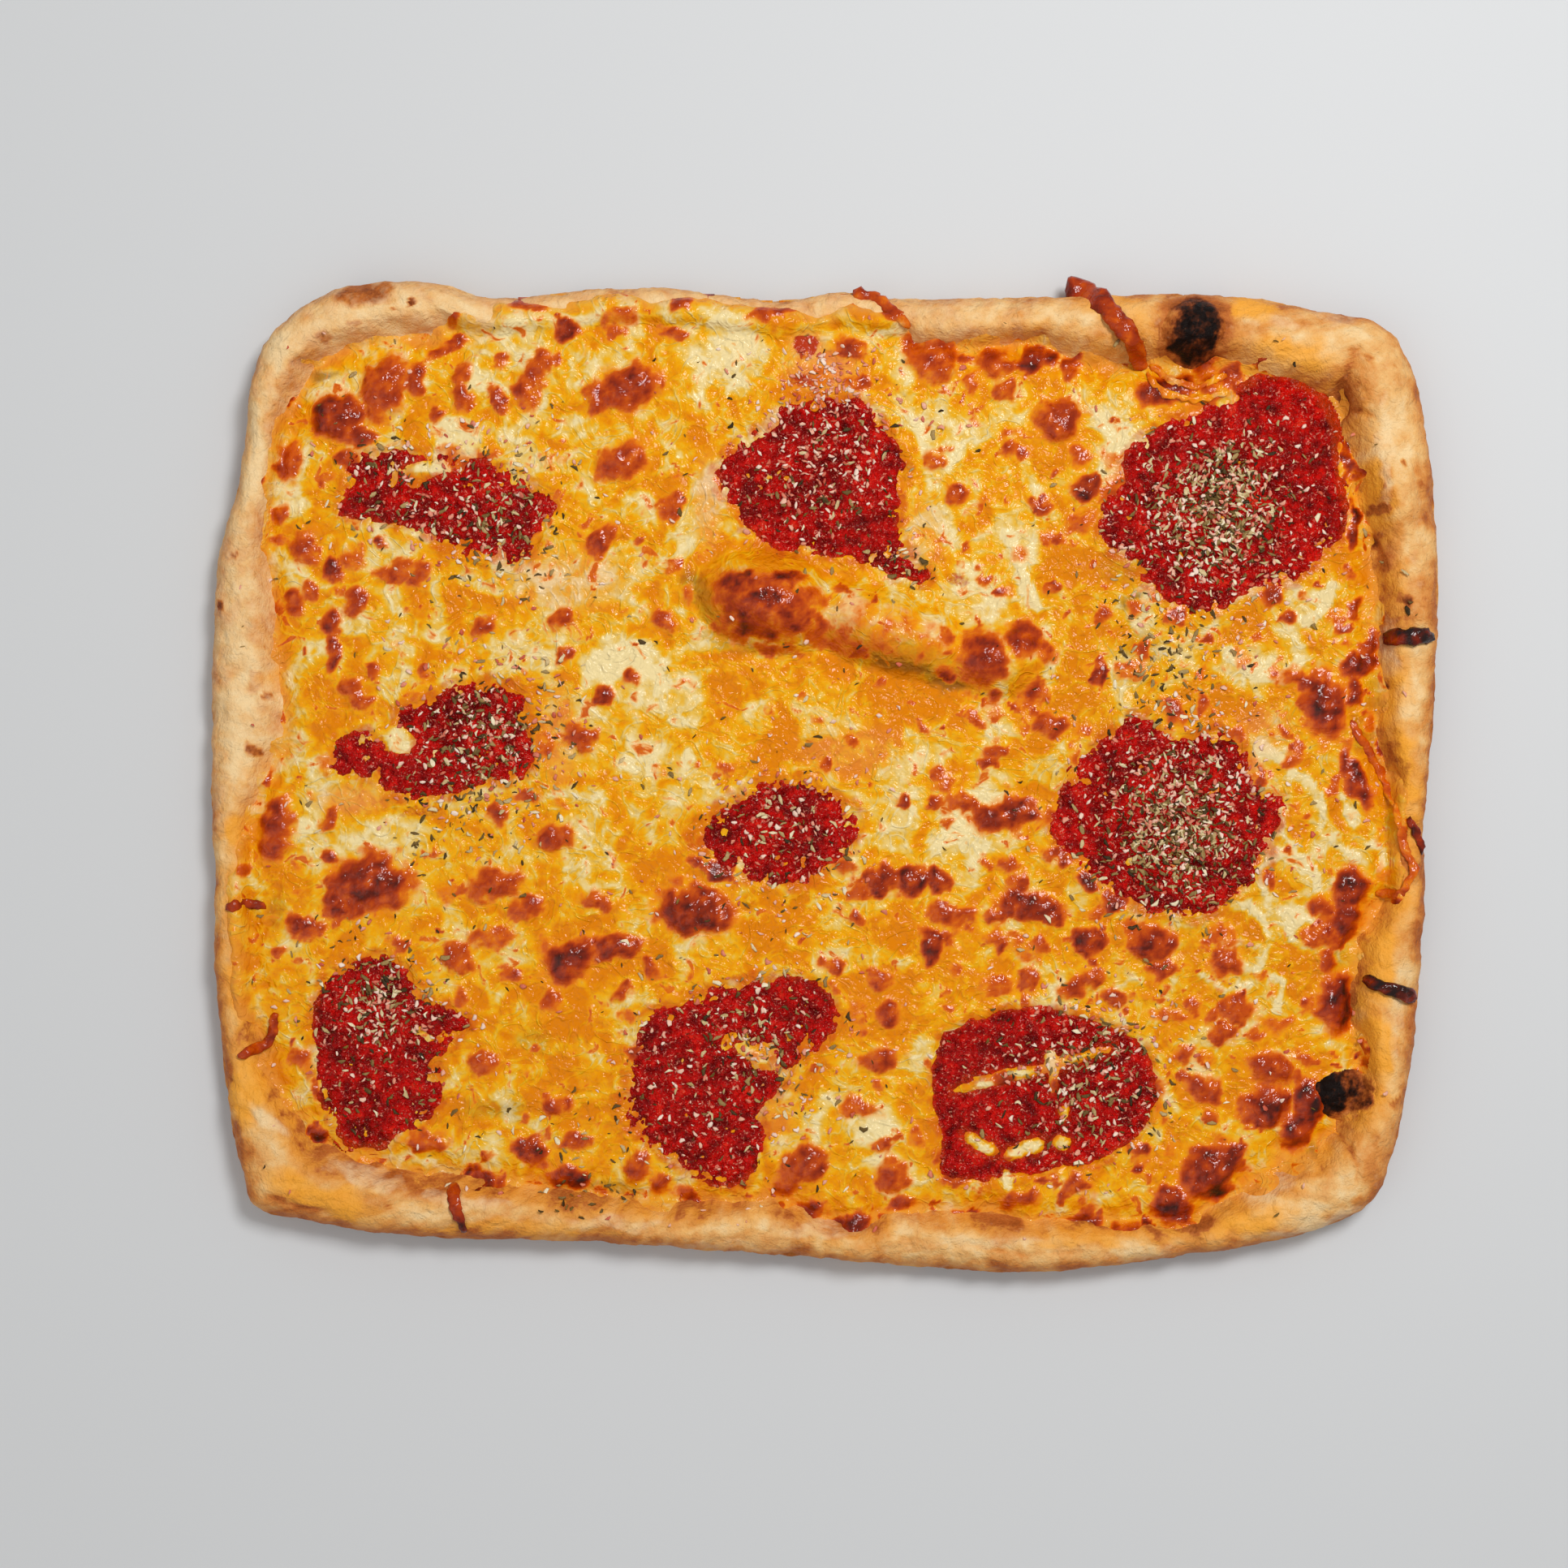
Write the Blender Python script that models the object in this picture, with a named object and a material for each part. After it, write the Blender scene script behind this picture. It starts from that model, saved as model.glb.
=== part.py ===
"""Grandma pizza: a rectangular pan pizza baked in one piece, with a rolled and dented dough rim,
a browned sheet of melted cheese and nine spoonfuls of tomato sauce sprinkled with herbs.

Metres, +Z up. The origin lies under the middle of the pizza, on the surface that it rests on,
+X along its long side and +Y towards the side that is at the top when seen from above.
"""

import math
import random
from collections import namedtuple

import bmesh
import bpy
import numpy as np
from mathutils import Matrix

MM = 0.001

# Scale of the overhead view in which the places below were read
PIXEL = 0.256 * MM
MIDDLE = (1015.5, 955.0)

# Dough
FLOOR_TOP = 8.5 * MM
RIM_CROWN = 0.45
RIM_BULGE = 0.42
RIM_ROUNDNESS = 2.0
RIM_TUCK = 4.0 * MM
RIM_WAVE = 1.3 * MM
RIM_LUMP = 0.6 * MM
RIM_FOOT = 1.5 * MM
NARROWEST_RIM = 13.0 * MM
LONG_WAVES = 34 * MM
SHORT_LUMPS = 16 * MM
RIM_COLUMNS = 120
SLOPE_RINGS = 4
OUTER_RINGS = 3
UNDER_RINGS = 2

# Cheese and sauce
GAP = 0.3 * MM
CHEESE_DEPTH = 3.2 * MM
CHEESE_EDGE_DEPTH = 2.1 * MM
CHEESE_EDGE_RUN = 9.0 * MM
CHEESE_WAVE = 0.5 * MM
CHEESE_CELL = 3.6 * MM
CHEESE_KEPT = 0.12
DOME_FULLNESS = 0.6
CHEESE_BOTTOM = 4.25 * MM
SLACK_WAVES = 17 * MM
SLACK_RIPPLES = 8 * MM
SWELL_GROWTH = 3 * MM
SAUCE_FLOOR = 10.0 * MM
SAUCE_LEVEL = 11.5 * MM
SAUCE_CROWN = 0.7 * MM
SAUCE_WAVE = 0.45 * MM
SAUCE_ROUND_OFF = 7 * MM
PULP_LUMPS = 9 * MM
PULP_GRAINS = 5 * MM
SAUCE_CELL = 9.0 * MM
EDGE_STEP = 5.0 * MM
POOL_STEP = 7.0 * MM
DOUBLE = 0.02 * MM
ROOT = 0.8 * MM
ROOT_FLOOR = 3.0 * MM
LIP = 0.6 * MM
LIP_RUN = 5.0 * MM
MARGIN = 3.0 * MM
CUTTER_BOTTOM = 2.0 * MM
CUTTER_TOP = 60.0 * MM

# Fineness of the curves, of the random waves and of the search along a ray
CURVE_STEPS = 20
WAVE_CELLS = 64
RAY_REACH = (60 * MM, 300 * MM)
RAY_HALVINGS = 22

# Herb and grated cheese flakes that are large enough to show
FLAKE_LENGTH = (2.6 * MM, 3.8 * MM)
FLAKE_SHAPE = (0.5, 0.42, 0.21)
FLAKE_SPACING = 4.2 * MM
FLAKE_MARGIN = 3.5 * MM
FLAKE_TILT = 0.3
FLAKE_LIFT = 0.1 * MM
FLAKE_TRIES = 4000
STRAND_RADIUS = 1.35 * MM
STRAND_SINK = 0.2 * MM

OUTLINE = [
    (261, 1100), (258, 900), (266, 700), (293, 595), (309, 470), (338, 405), (400, 360),
    (470, 345), (545, 349), (610, 364), (760, 351), (860, 356), (960, 367), (1045, 356),
    (1110, 366), (1290, 364), (1500, 362), (1640, 385), (1695, 394), (1735, 440),
    (1760, 540), (1772, 680), (1771, 830), (1757, 1010), (1757, 1120), (1744, 1280),
    (1718, 1420), (1690, 1482), (1610, 1520), (1490, 1545), (1300, 1568), (1150, 1564),
    (980, 1550), (720, 1532), (500, 1524), (370, 1504), (315, 1490), (296, 1445),
    (280, 1360), (264, 1230),
]

# Angle round the middle in degrees, and the height in millimetres of the rim's crown there
RIM_HEIGHTS = [
    (5, 19), (27, 20.5), (40, 21), (57, 20), (75, 16.5), (86, 13), (100, 12.5), (120, 12.5),
    (127, 15.5), (137, 20), (154, 18), (178, 16.5), (190, 15), (204, 15), (217, 20),
    (238, 18), (273, 17), (303, 17), (322, 20.5), (340, 19), (352, 17),
]

# Angle, and how far in from the outline the cheese stops there, in millimetres
CHEESE_INSETS = [
    (5, 17), (17, 19), (24, 21), (30, 25), (36, 26), (43, 24), (48, 22), (57, 21), (64, 14),
    (77, 15), (84, 6), (101, 3.5), (125, 3.5), (128.5, 8), (131, 15), (137, 19), (141, 17),
    (147, 12), (154, 11), (165, 20), (176, 23), (183, 13), (191, 7), (201, 9), (208, 14),
    (216, 25), (223, 24), (238, 16), (250, 14), (264, 18), (273, 10), (279, 18), (291, 18),
    (310, 11), (322, 25), (330, 13), (336, 21), (343, 20), (350, 7), (356, 7),
]

SAUCES = {
    "sauce_top_left": [
        (428, 562), (476, 550), (574, 557), (638, 580), (688, 608), (680, 645), (645, 701),
        (606, 688), (554, 684), (512, 661), (460, 647), (417, 638), (421, 600),
    ],
    "sauce_top_middle": [
        (876, 582), (900, 548), (937, 522), (959, 500), (998, 486), (1045, 485), (1080, 500),
        (1102, 535), (1120, 572), (1113, 620), (1116, 668), (1150, 698), (1142, 722),
        (1098, 716), (1060, 694), (1000, 690), (940, 676), (903, 636),
    ],
    "sauce_top_right": [
        (1413, 531), (1440, 511), (1492, 492), (1527, 480), (1543, 463), (1600, 468),
        (1636, 505), (1649, 560), (1658, 620), (1653, 668), (1600, 717), (1541, 737),
        (1492, 759), (1441, 757), (1420, 729), (1374, 688), (1347, 655), (1351, 622),
        (1381, 590), (1378, 558),
    ],
    "sauce_left": [
        (484, 889), (497, 867), (544, 849), (577, 834), (625, 834), (656, 864), (657, 897),
        (663, 930), (648, 963), (600, 968), (545, 985), (495, 988), (452, 963), (410, 959),
        (400, 925), (426, 902), (455, 896), (478, 912), (497, 928), (499, 908),
    ],
    "sauce_middle": [
        (848, 1028), (888, 990), (922, 966), (972, 955), (1010, 964), (1045, 983), (1066, 1015),
        (1050, 1049), (1025, 1068), (996, 1091), (950, 1095), (905, 1082), (870, 1060),
    ],
    "sauce_right": [
        (1364, 899), (1390, 874), (1411, 874), (1440, 899), (1500, 899), (1537, 916),
        (1548, 965), (1590, 981), (1579, 1020), (1557, 1084), (1520, 1107), (1491, 1135),
        (1440, 1129), (1395, 1125), (1350, 1091), (1299, 1047), (1287, 1018), (1301, 978),
        (1319, 940),
    ],
    "sauce_bottom_left": [
        (387, 1226), (405, 1196), (432, 1177), (480, 1173), (508, 1192), (532, 1226),
        (588, 1252), (570, 1280), (547, 1303), (552, 1345), (529, 1382), (477, 1407),
        (430, 1403), (415, 1374), (386, 1334), (380, 1285),
    ],
    "sauce_bottom_middle": [
        (800, 1241), (855, 1229), (877, 1211), (935, 1201), (1000, 1201), (1027, 1225),
        (1039, 1257), (1017, 1290), (978, 1317), (962, 1350), (940, 1370), (949, 1405),
        (931, 1449), (895, 1465), (856, 1454), (801, 1416), (769, 1389), (765, 1345),
        (779, 1290),
    ],
    "sauce_bottom_right": [
        (1147, 1293), (1167, 1267), (1225, 1244), (1285, 1236), (1345, 1253), (1395, 1271),
        (1421, 1306), (1429, 1350), (1411, 1393), (1364, 1429), (1300, 1445), (1240, 1454),
        (1190, 1458), (1156, 1446), (1154, 1405), (1144, 1340),
    ],
}

# How many flakes show on each spoonful
SAUCE_FLAKES = {
    "sauce_top_left": 6, "sauce_top_middle": 6, "sauce_top_right": 12, "sauce_left": 6,
    "sauce_middle": 5, "sauce_right": 12, "sauce_bottom_left": 8, "sauce_bottom_middle": 7,
    "sauce_bottom_right": 7,
}

# Flakes that fell beside the spoonfuls, on the cheese
CHEESE_FLAKES = [(1396, 738), (1424, 792), (1448, 836), (1472, 872), (705, 655), (1135, 905)]

# Pixel, half length and half width in millimetres, turn in degrees, height over what is round it
Dome = namedtuple("Dome", "column row long wide turn rise")

# The long air bubble under the cheese in the middle of the pizza
MIDDLE_BUBBLES = [
    Dome(950, 742, 22, 13.5, -14, 11.0),
    Dome(1095, 778, 31, 10.5, -19, 7.5),
]

# Scorched air bubbles and swellings of the rim
RIM_BUBBLES = [
    Dome(1468, 413, 11.5, 9.5, 80, 3.0),
    Dome(1645, 1345, 11.5, 9.0, 15, 4.5),
    Dome(1712, 606, 13.0, 7.0, -78, 1.5),
]

BLISTERS = [
    Dome(414, 512, 9.0, 6.5, 30, 1.8), Dome(775, 482, 10.5, 6.5, 15, 2.2),
    Dome(770, 570, 9.0, 5.5, 30, 1.2), Dome(1150, 443, 9.5, 6.5, -35, 2.4),
    Dome(1222, 445, 6.5, 5.0, -30, 2.0), Dome(1303, 516, 7.5, 7.5, 0, 2.4),
    Dome(1204, 806, 8.5, 8.0, 80, 3.2), Dome(1268, 782, 7.5, 6.5, -20, 2.6),
    Dome(1244, 998, 9.5, 4.5, 15, 1.6), Dome(1632, 872, 10.0, 6.5, 80, 2.8),
    Dome(456, 1087, 12.5, 8.5, -8, 2.4), Dome(367, 1134, 5.5, 5.0, 0, 1.8),
    Dome(684, 1029, 6.5, 5.0, 0, 1.4), Dome(613, 1092, 9.0, 6.0, 10, 1.2),
    Dome(697, 1183, 9.0, 6.5, 35, 2.4), Dome(757, 1166, 8.5, 4.5, 10, 2.0),
    Dome(856, 1122, 11.5, 7.5, -8, 3.0), Dome(1122, 1082, 12.5, 5.0, 0, 1.8),
    Dome(1259, 1119, 11.0, 4.8, -5, 2.0), Dome(1146, 1169, 7.0, 5.0, 80, 1.8),
    Dome(1421, 1160, 7.5, 6.5, 0, 2.6), Dome(1524, 1242, 6.5, 5.5, 0, 1.6),
    Dome(1562, 1340, 8.5, 7.5, 80, 2.4), Dome(1500, 1436, 9.5, 7.5, 60, 2.6),
    Dome(1447, 1472, 9.0, 7.0, 40, 1.8), Dome(1087, 1304, 8.5, 4.8, 15, 1.2),
    Dome(998, 1431, 8.5, 7.0, 30, 2.0), Dome(1100, 1440, 8.0, 5.0, 40, 1.6),
    Dome(662, 1419, 7.5, 6.0, 0, 1.8), Dome(697, 1449, 7.0, 4.5, -10, 1.6),
    Dome(1664, 1100, 10.0, 6.5, 70, 2.4), Dome(1648, 1218, 9.5, 5.5, 85, 2.0),
    Dome(343, 1020, 10.5, 6.0, 85, 1.6), Dome(1484, 1341, 6.5, 6.5, 0, 1.4),
    Dome(1047, 1508, 7.0, 4.0, 10, 1.6), Dome(1344, 1198, 6.0, 6.0, 45, 1.4),
]

# Burnt strings of cheese that lie over the rim, as pixels along each
STRANDS = [
    [(1326, 358), (1348, 372), (1371, 396), (1392, 424)],
    [(1056, 362), (1085, 376), (1108, 396)],
    [(1722, 786), (1758, 783)],
    [(1694, 1212), (1712, 1217), (1737, 1227)],
    [(561, 1470), (567, 1490), (573, 1513)],
]


def place(pixel):
    """The point of the pizza that lies under this pixel of the overhead view."""
    return ((pixel[0] - MIDDLE[0]) * PIXEL, (MIDDLE[1] - pixel[1]) * PIXEL)


def smooth_loop(corners, step):
    """A closed curve through the corners, as points about one step apart."""
    here = np.array(corners)
    before, after, beyond = (np.roll(here, k, axis=0) for k in (1, -1, -2))
    t = np.linspace(0, 1, CURVE_STEPS, endpoint=False)[:, None, None]
    curve = 0.5 * (
        2 * here
        + (after - before) * t
        + (2 * before - 5 * here + 4 * after - beyond) * t**2
        + (3 * here - before - 3 * after + beyond) * t**3
    )
    curve = curve.transpose(1, 0, 2).reshape(-1, 2)
    ring = np.vstack([curve, curve[:1]])
    run = np.concatenate([[0], np.cumsum(np.hypot(*np.diff(ring, axis=0).T))])
    even = np.linspace(0, run[-1], round(run[-1] / step), endpoint=False)
    return np.column_stack([np.interp(even, run, ring[:, k]) for k in (0, 1)])


def inset_of(points, loop):
    """How far inside the loop each point lies, negative outside it."""
    x, y = points.T
    nearest = np.full(len(points), np.inf)
    inside = np.zeros(len(points), bool)
    for start, end in zip(loop, np.roll(loop, -1, axis=0)):
        side = end - start
        way = points - start
        share = np.clip(way @ side / (side @ side), 0, 1)
        nearest = np.minimum(nearest, np.hypot(*(way - share[:, None] * side).T))
        if start[1] != end[1]:
            crossing = start[0] + (y - start[1]) / side[1] * side[0]
            inside ^= ((start[1] > y) != (end[1] > y)) & (x < crossing)
    return np.where(inside, nearest, -nearest)


def around(points, stations):
    """The value of a list of stations in the direction of each point, in metres."""
    angles = np.degrees(np.arctan2(points[:, 1], points[:, 0])) % 360
    known, values = zip(*stations)
    return np.interp(angles, known, values, period=360) * MM


def waves(points, size, seed):
    """Smooth random relief from about -1 to 1, with swellings of this size."""
    turns = np.random.default_rng(seed).uniform(0, math.tau, (WAVE_CELLS, WAVE_CELLS))
    scaled = points / size + 5 * WAVE_CELLS
    cell = np.floor(scaled).astype(int)
    part = scaled - cell
    ease = part**3 * (part * (part * 6 - 15) + 10)

    def pull(right, up):
        turn = turns[(cell[:, 0] + right) % WAVE_CELLS, (cell[:, 1] + up) % WAVE_CELLS]
        return np.cos(turn) * (part[:, 0] - right) + np.sin(turn) * (part[:, 1] - up)

    low = pull(0, 0) * (1 - ease[:, 0]) + pull(1, 0) * ease[:, 0]
    high = pull(0, 1) * (1 - ease[:, 0]) + pull(1, 1) * ease[:, 0]
    return 1.5 * (low * (1 - ease[:, 1]) + high * ease[:, 1])


def eased(share):
    """A smooth step from 0 to 1."""
    share = np.clip(share, 0, 1)
    return share * share * (3 - 2 * share)


def domes_over(points, domes, grow=0.0):
    """The height of the highest dome over each point, with soft feet."""
    height = np.zeros(len(points))
    for dome in domes:
        turn = math.radians(dome.turn)
        way = points - place((dome.column, dome.row))
        along = way @ (math.cos(turn), math.sin(turn)) / (dome.long * MM + grow)
        across = way @ (-math.sin(turn), math.cos(turn)) / (dome.wide * MM + grow)
        share = 1 - np.hypot(along, across)
        height = np.maximum(height, (dome.rise * MM + grow) * eased(share * 1.15) ** DOME_FULLNESS)
    return height


def rim_width(points):
    """How wide the rim is here: it reaches a little under the cheese."""
    return np.maximum(around(points, CHEESE_INSETS) + RIM_FOOT, NARROWEST_RIM)


def rim_crown(points):
    """The height of the rim's crown, which rises and falls in waves and lumps."""
    long_waves = RIM_WAVE * waves(points, LONG_WAVES, 3)
    lumps = RIM_LUMP * waves(points, SHORT_LUMPS, 4)
    return around(points, RIM_HEIGHTS) + long_waves + lumps


def rim_rise(down):
    """The rim's height over the floor, 1 on its crown to 0 at its foot: round first, then steep."""
    return 0.5 + 0.5 * np.cos(math.pi * down**RIM_ROUNDNESS)


def dough_top(points):
    """The height of the dough's upper surface without its bubbles."""
    inset = inset_of(points, EDGE)
    width = rim_width(points)
    crown = rim_crown(points)
    crown_inset = RIM_CROWN * width
    down = np.clip((inset - crown_inset) / (width - crown_inset), 0, 1)
    slope = FLOOR_TOP + (crown - FLOOR_TOP) * rim_rise(down)
    out = 1 - np.clip(inset / crown_inset, 0, 1)
    side = crown * (RIM_BULGE + (1 - RIM_BULGE) * np.sqrt(1 - out * out))
    return np.where(inset > crown_inset, slope, side)


def cheese_top(points):
    """The height of the cheese: it follows the dough, with bubbles, blisters and lips."""
    run = eased((inset_of(points, EDGE) - around(points, CHEESE_INSETS)) / CHEESE_EDGE_RUN)
    depth = CHEESE_EDGE_DEPTH + (CHEESE_DEPTH - CHEESE_EDGE_DEPTH) * run
    slack = waves(points, SLACK_WAVES, 5) + 0.5 * waves(points, SLACK_RIPPLES, 6)
    lips = np.zeros(len(points))
    calm = np.ones(len(points))
    for loop in SAUCE_LOOPS.values():
        away = -inset_of(points, loop)
        lips = np.maximum(lips, LIP * eased(1 - away / LIP_RUN) * (away > 0))
        calm = np.minimum(calm, eased(away / LIP_RUN))
    swell = domes_over(points, MIDDLE_BUBBLES, SWELL_GROWTH) + domes_over(points, BLISTERS) * calm
    return dough_top(points) + depth + CHEESE_WAVE * slack * run * calm + lips + swell


def sauce_top(points, loop):
    """The height of a spoonful of sauce, low at its edge and pulpy on top."""
    middle = eased(inset_of(points, loop) / SAUCE_ROUND_OFF)
    pulp = waves(points, PULP_LUMPS, 8) + 0.6 * waves(points, PULP_GRAINS, 9)
    return SAUCE_LEVEL + SAUCE_CROWN * middle + SAUCE_WAVE * pulp


def material(name, colour, roughness):
    made = bpy.data.materials.new(name)
    made.use_nodes = True
    shader = made.node_tree.nodes["Principled BSDF"]
    shader.inputs["Base Color"].default_value = (*colour, 1)
    shader.inputs["Roughness"].default_value = roughness
    return made


def add_object(name, mesh, collection, surface=None):
    made = bpy.data.objects.new(name, mesh)
    collection.objects.link(made)
    if surface:
        made.data.materials.clear()
        made.data.materials.append(surface)
    return made


def mesh_object(name, shape, collection, surface=None):
    """An object from a bmesh, which is freed."""
    mesh = bpy.data.meshes.new(name)
    bmesh.ops.recalc_face_normals(shape, faces=shape.faces)
    shape.to_mesh(mesh)
    shape.free()
    return add_object(name, mesh, collection, surface)


def settle(piece):
    """Applies what the object's modifiers make of it, without slivers."""
    bpy.context.view_layer.update()
    graph = bpy.context.evaluated_depsgraph_get()
    mesh = bpy.data.meshes.new_from_object(piece.evaluated_get(graph))
    piece.modifiers.clear()
    piece.data = mesh
    shape = bmesh.new()
    shape.from_mesh(mesh)
    bmesh.ops.triangulate(shape, faces=shape.faces)
    bmesh.ops.dissolve_degenerate(shape, edges=shape.edges, dist=DOUBLE)
    shape.to_mesh(mesh)
    shape.free()


def combine(piece, other, operation):
    """One exact Boolean with an object or with all of a collection, applied."""
    cut = piece.modifiers.new(operation.lower(), "BOOLEAN")
    cut.operation = operation
    cut.solver = "EXACT"
    if isinstance(other, bpy.types.Collection):
        cut.operand_type = "COLLECTION"
        cut.collection = other
    else:
        cut.object = other
    settle(piece)


def as_cutter(piece):
    piece.hide_render = True
    piece.display_type = "WIRE"
    return piece


def curve_as_mesh(curve, name, collection):
    """The curve's solid as a mesh object with welded caps; the curve is removed."""
    bpy.context.view_layer.update()
    graph = bpy.context.evaluated_depsgraph_get()
    mesh = bpy.data.meshes.new_from_object(curve.evaluated_get(graph))
    shape = bmesh.new()
    shape.from_mesh(mesh)
    shape.transform(curve.matrix_world)
    bmesh.ops.remove_doubles(shape, verts=shape.verts, dist=DOUBLE / 2)
    bpy.data.objects.remove(curve)
    return mesh_object(name, shape, collection)


def poly_curve(points, dimensions, cyclic):
    curve = bpy.data.curves.new("line", "CURVE")
    curve.dimensions = dimensions
    line = curve.splines.new("POLY")
    line.points.add(len(points) - 1)
    for point, here in zip(line.points, points):
        point.co = (*here, 1)
    line.use_cyclic_u = cyclic
    return curve


def prism(name, loop, low, high, collection):
    """An upright solid of this outline."""
    curve = poly_curve([(x, y, 0) for x, y in loop], "2D", True)
    curve.fill_mode = "BOTH"
    curve.extrude = (high - low) / 2
    piece = add_object("outline", curve, collection)
    piece.location.z = (low + high) / 2
    return curve_as_mesh(piece, name, collection)


def relief_block(name, low_corner, high_corner, cell, bottom, height_at, collection):
    """A block over this rectangle whose top is a grid raised to height_at."""
    size = np.array(high_corner) - low_corner
    steps = np.ceil(size / cell).astype(int)
    shape = bmesh.new()
    spread = Matrix.Translation((*((np.array(low_corner) + high_corner) / 2), 0)) @ Matrix.Diagonal(
        (size[0], size[1], 1, 1)
    )
    bmesh.ops.create_grid(
        shape, x_segments=int(steps[0]), y_segments=int(steps[1]), size=0.5, matrix=spread
    )
    top = list(shape.verts)
    for vert, height in zip(top, height_at(np.array([v.co.xy for v in top]))):
        vert.co.z = height
    rim = [edge for edge in shape.edges if edge.is_boundary]
    sunk = bmesh.ops.extrude_edge_only(shape, edges=rim)["geom"]
    for vert in (item for item in sunk if isinstance(item, bmesh.types.BMVert)):
        vert.co.z = bottom
    bmesh.ops.holes_fill(shape, edges=[edge for edge in shape.edges if edge.is_boundary])
    return mesh_object(name, shape, collection)


def inward_normals(loop):
    run = np.roll(loop, -1, axis=0) - np.roll(loop, 1, axis=0)
    run /= np.hypot(*run.T)[:, None]
    side = np.column_stack([-run[:, 1], run[:, 0]])
    probe = inset_of(loop[:1] + side[:1] * MM, loop)[0]
    return side if probe > 0 else -side


def reach_at(rays, insets):
    """How far along each ray from the middle this inset from the dough's edge lies."""
    near, far = (np.full(len(rays), reach) for reach in RAY_REACH)
    for _ in range(RAY_HALVINGS):
        reach = (near + far) / 2
        inside = inset_of(rays * reach[:, None], EDGE) > insets
        near, far = np.where(inside, reach, near), np.where(inside, far, reach)
    return near


def rim_rings(widths, crowns):
    """Insets and heights of the rings that run over the rim, from its foot to its underside."""
    crown_insets = RIM_CROWN * widths
    bulges = RIM_BULGE * crowns
    for step in range(SLOPE_RINGS + 1):
        share = 1 - step / SLOPE_RINGS
        inset = crown_insets + share * (widths - crown_insets)
        yield inset, FLOOR_TOP + (crowns - FLOOR_TOP) * rim_rise(share)
    for step in range(1, OUTER_RINGS + 1):
        turn = math.pi / 2 * (1 - step / OUTER_RINGS)
        yield crown_insets * (1 - math.cos(turn)), bulges + (crowns - bulges) * math.sin(turn)
    for step in range(1, UNDER_RINGS + 1):
        turn = math.pi / 2 * step / UNDER_RINGS
        yield RIM_TUCK * (1 - math.cos(turn)) + 0 * widths, bulges * (1 - math.sin(turn))


def dough_shell():
    """A flat floor of dough with a rim rolled round it: a strip bent into rings, then closed."""
    loop = smooth_loop([place(pixel) for pixel in OUTLINE], EDGE_LENGTH / RIM_COLUMNS)
    rays = loop / np.hypot(*loop.T)[:, None]
    rings = [
        (rays * reach_at(rays, insets)[:, None], heights)
        for insets, heights in rim_rings(rim_width(loop), rim_crown(loop))
    ]
    shape = bmesh.new()
    bmesh.ops.create_grid(shape, x_segments=len(loop), y_segments=len(rings) - 1, size=0.5)
    for vert in shape.verts:
        column = round((vert.co.x + 0.5) * len(loop)) % len(loop)
        points, heights = rings[round((vert.co.y + 0.5) * (len(rings) - 1))]
        vert.co = (*points[column], heights[column])
    bmesh.ops.remove_doubles(shape, verts=shape.verts, dist=DOUBLE)
    bmesh.ops.holes_fill(shape, edges=[edge for edge in shape.edges if edge.is_boundary])
    return shape


def dough_bubble(dome):
    """A dome that stands on the slope of the dough and is rooted in it."""
    shape = bmesh.new()
    bmesh.ops.create_uvsphere(shape, u_segments=12, v_segments=6, radius=1)
    raised = {vert: vert.co.z for vert in shape.verts}
    size = Matrix.Diagonal((dome.long * MM, dome.wide * MM, 0, 1))
    turn = Matrix.Rotation(math.radians(dome.turn), 4, "Z")
    shape.transform(Matrix.Translation((*place((dome.column, dome.row)), 0)) @ turn @ size)
    grounds = dough_top(np.array([vert.co.xy for vert in shape.verts]))
    for vert, ground in zip(shape.verts, grounds):
        up = raised[vert]
        vert.co.z = ground + dome.rise * MM * up - ROOT if up > -0.1 else ROOT_FLOOR
    return shape


def make_crust(parts, cutters):
    crust = mesh_object("crust", dough_shell(), parts, material("baked_dough", (0.72, 0.42, 0.17), 0.75))
    extras = bpy.data.collections.new("crust_extras")
    cutters.children.link(extras)
    for number, dome in enumerate(MIDDLE_BUBBLES + RIM_BUBBLES):
        mesh_object(f"bubble_{number}", dough_bubble(dome), extras)
    for number, strand in enumerate(STRANDS):
        line = np.array([place(pixel) for pixel in strand])
        heights = dough_top(line) - STRAND_SINK
        curve = poly_curve([(x, y, z) for (x, y), z in zip(line, heights)], "3D", False)
        curve.bevel_depth = STRAND_RADIUS
        curve.bevel_resolution = 1
        curve.use_fill_caps = True
        curve_as_mesh(add_object("line", curve, extras), f"strand_{number}", extras)
    combine(crust, extras, "UNION")
    for extra in list(extras.objects):
        bpy.data.objects.remove(extra)
    return crust


def cheese_loop(steps=120):
    """The cheese's edge, as points along rays from the middle."""
    angles = np.linspace(0, math.tau, steps, endpoint=False)
    rays = np.column_stack([np.cos(angles), np.sin(angles)])
    return rays * reach_at(rays, around(rays, CHEESE_INSETS))[:, None]


def scatter(loop, count, seed):
    """Places for flakes inside the loop, no two too close."""
    rng = random.Random(seed)
    low, high = loop.min(axis=0), loop.max(axis=0)
    found = []
    for _ in range(FLAKE_TRIES):
        here = np.array([rng.uniform(low[0], high[0]), rng.uniform(low[1], high[1])])
        clear = all(math.dist(here, other) > FLAKE_SPACING for other in found)
        if clear and inset_of(here[None], loop)[0] > FLAKE_MARGIN:
            found.append(here)
        if len(found) == count:
            break
    return found


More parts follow.
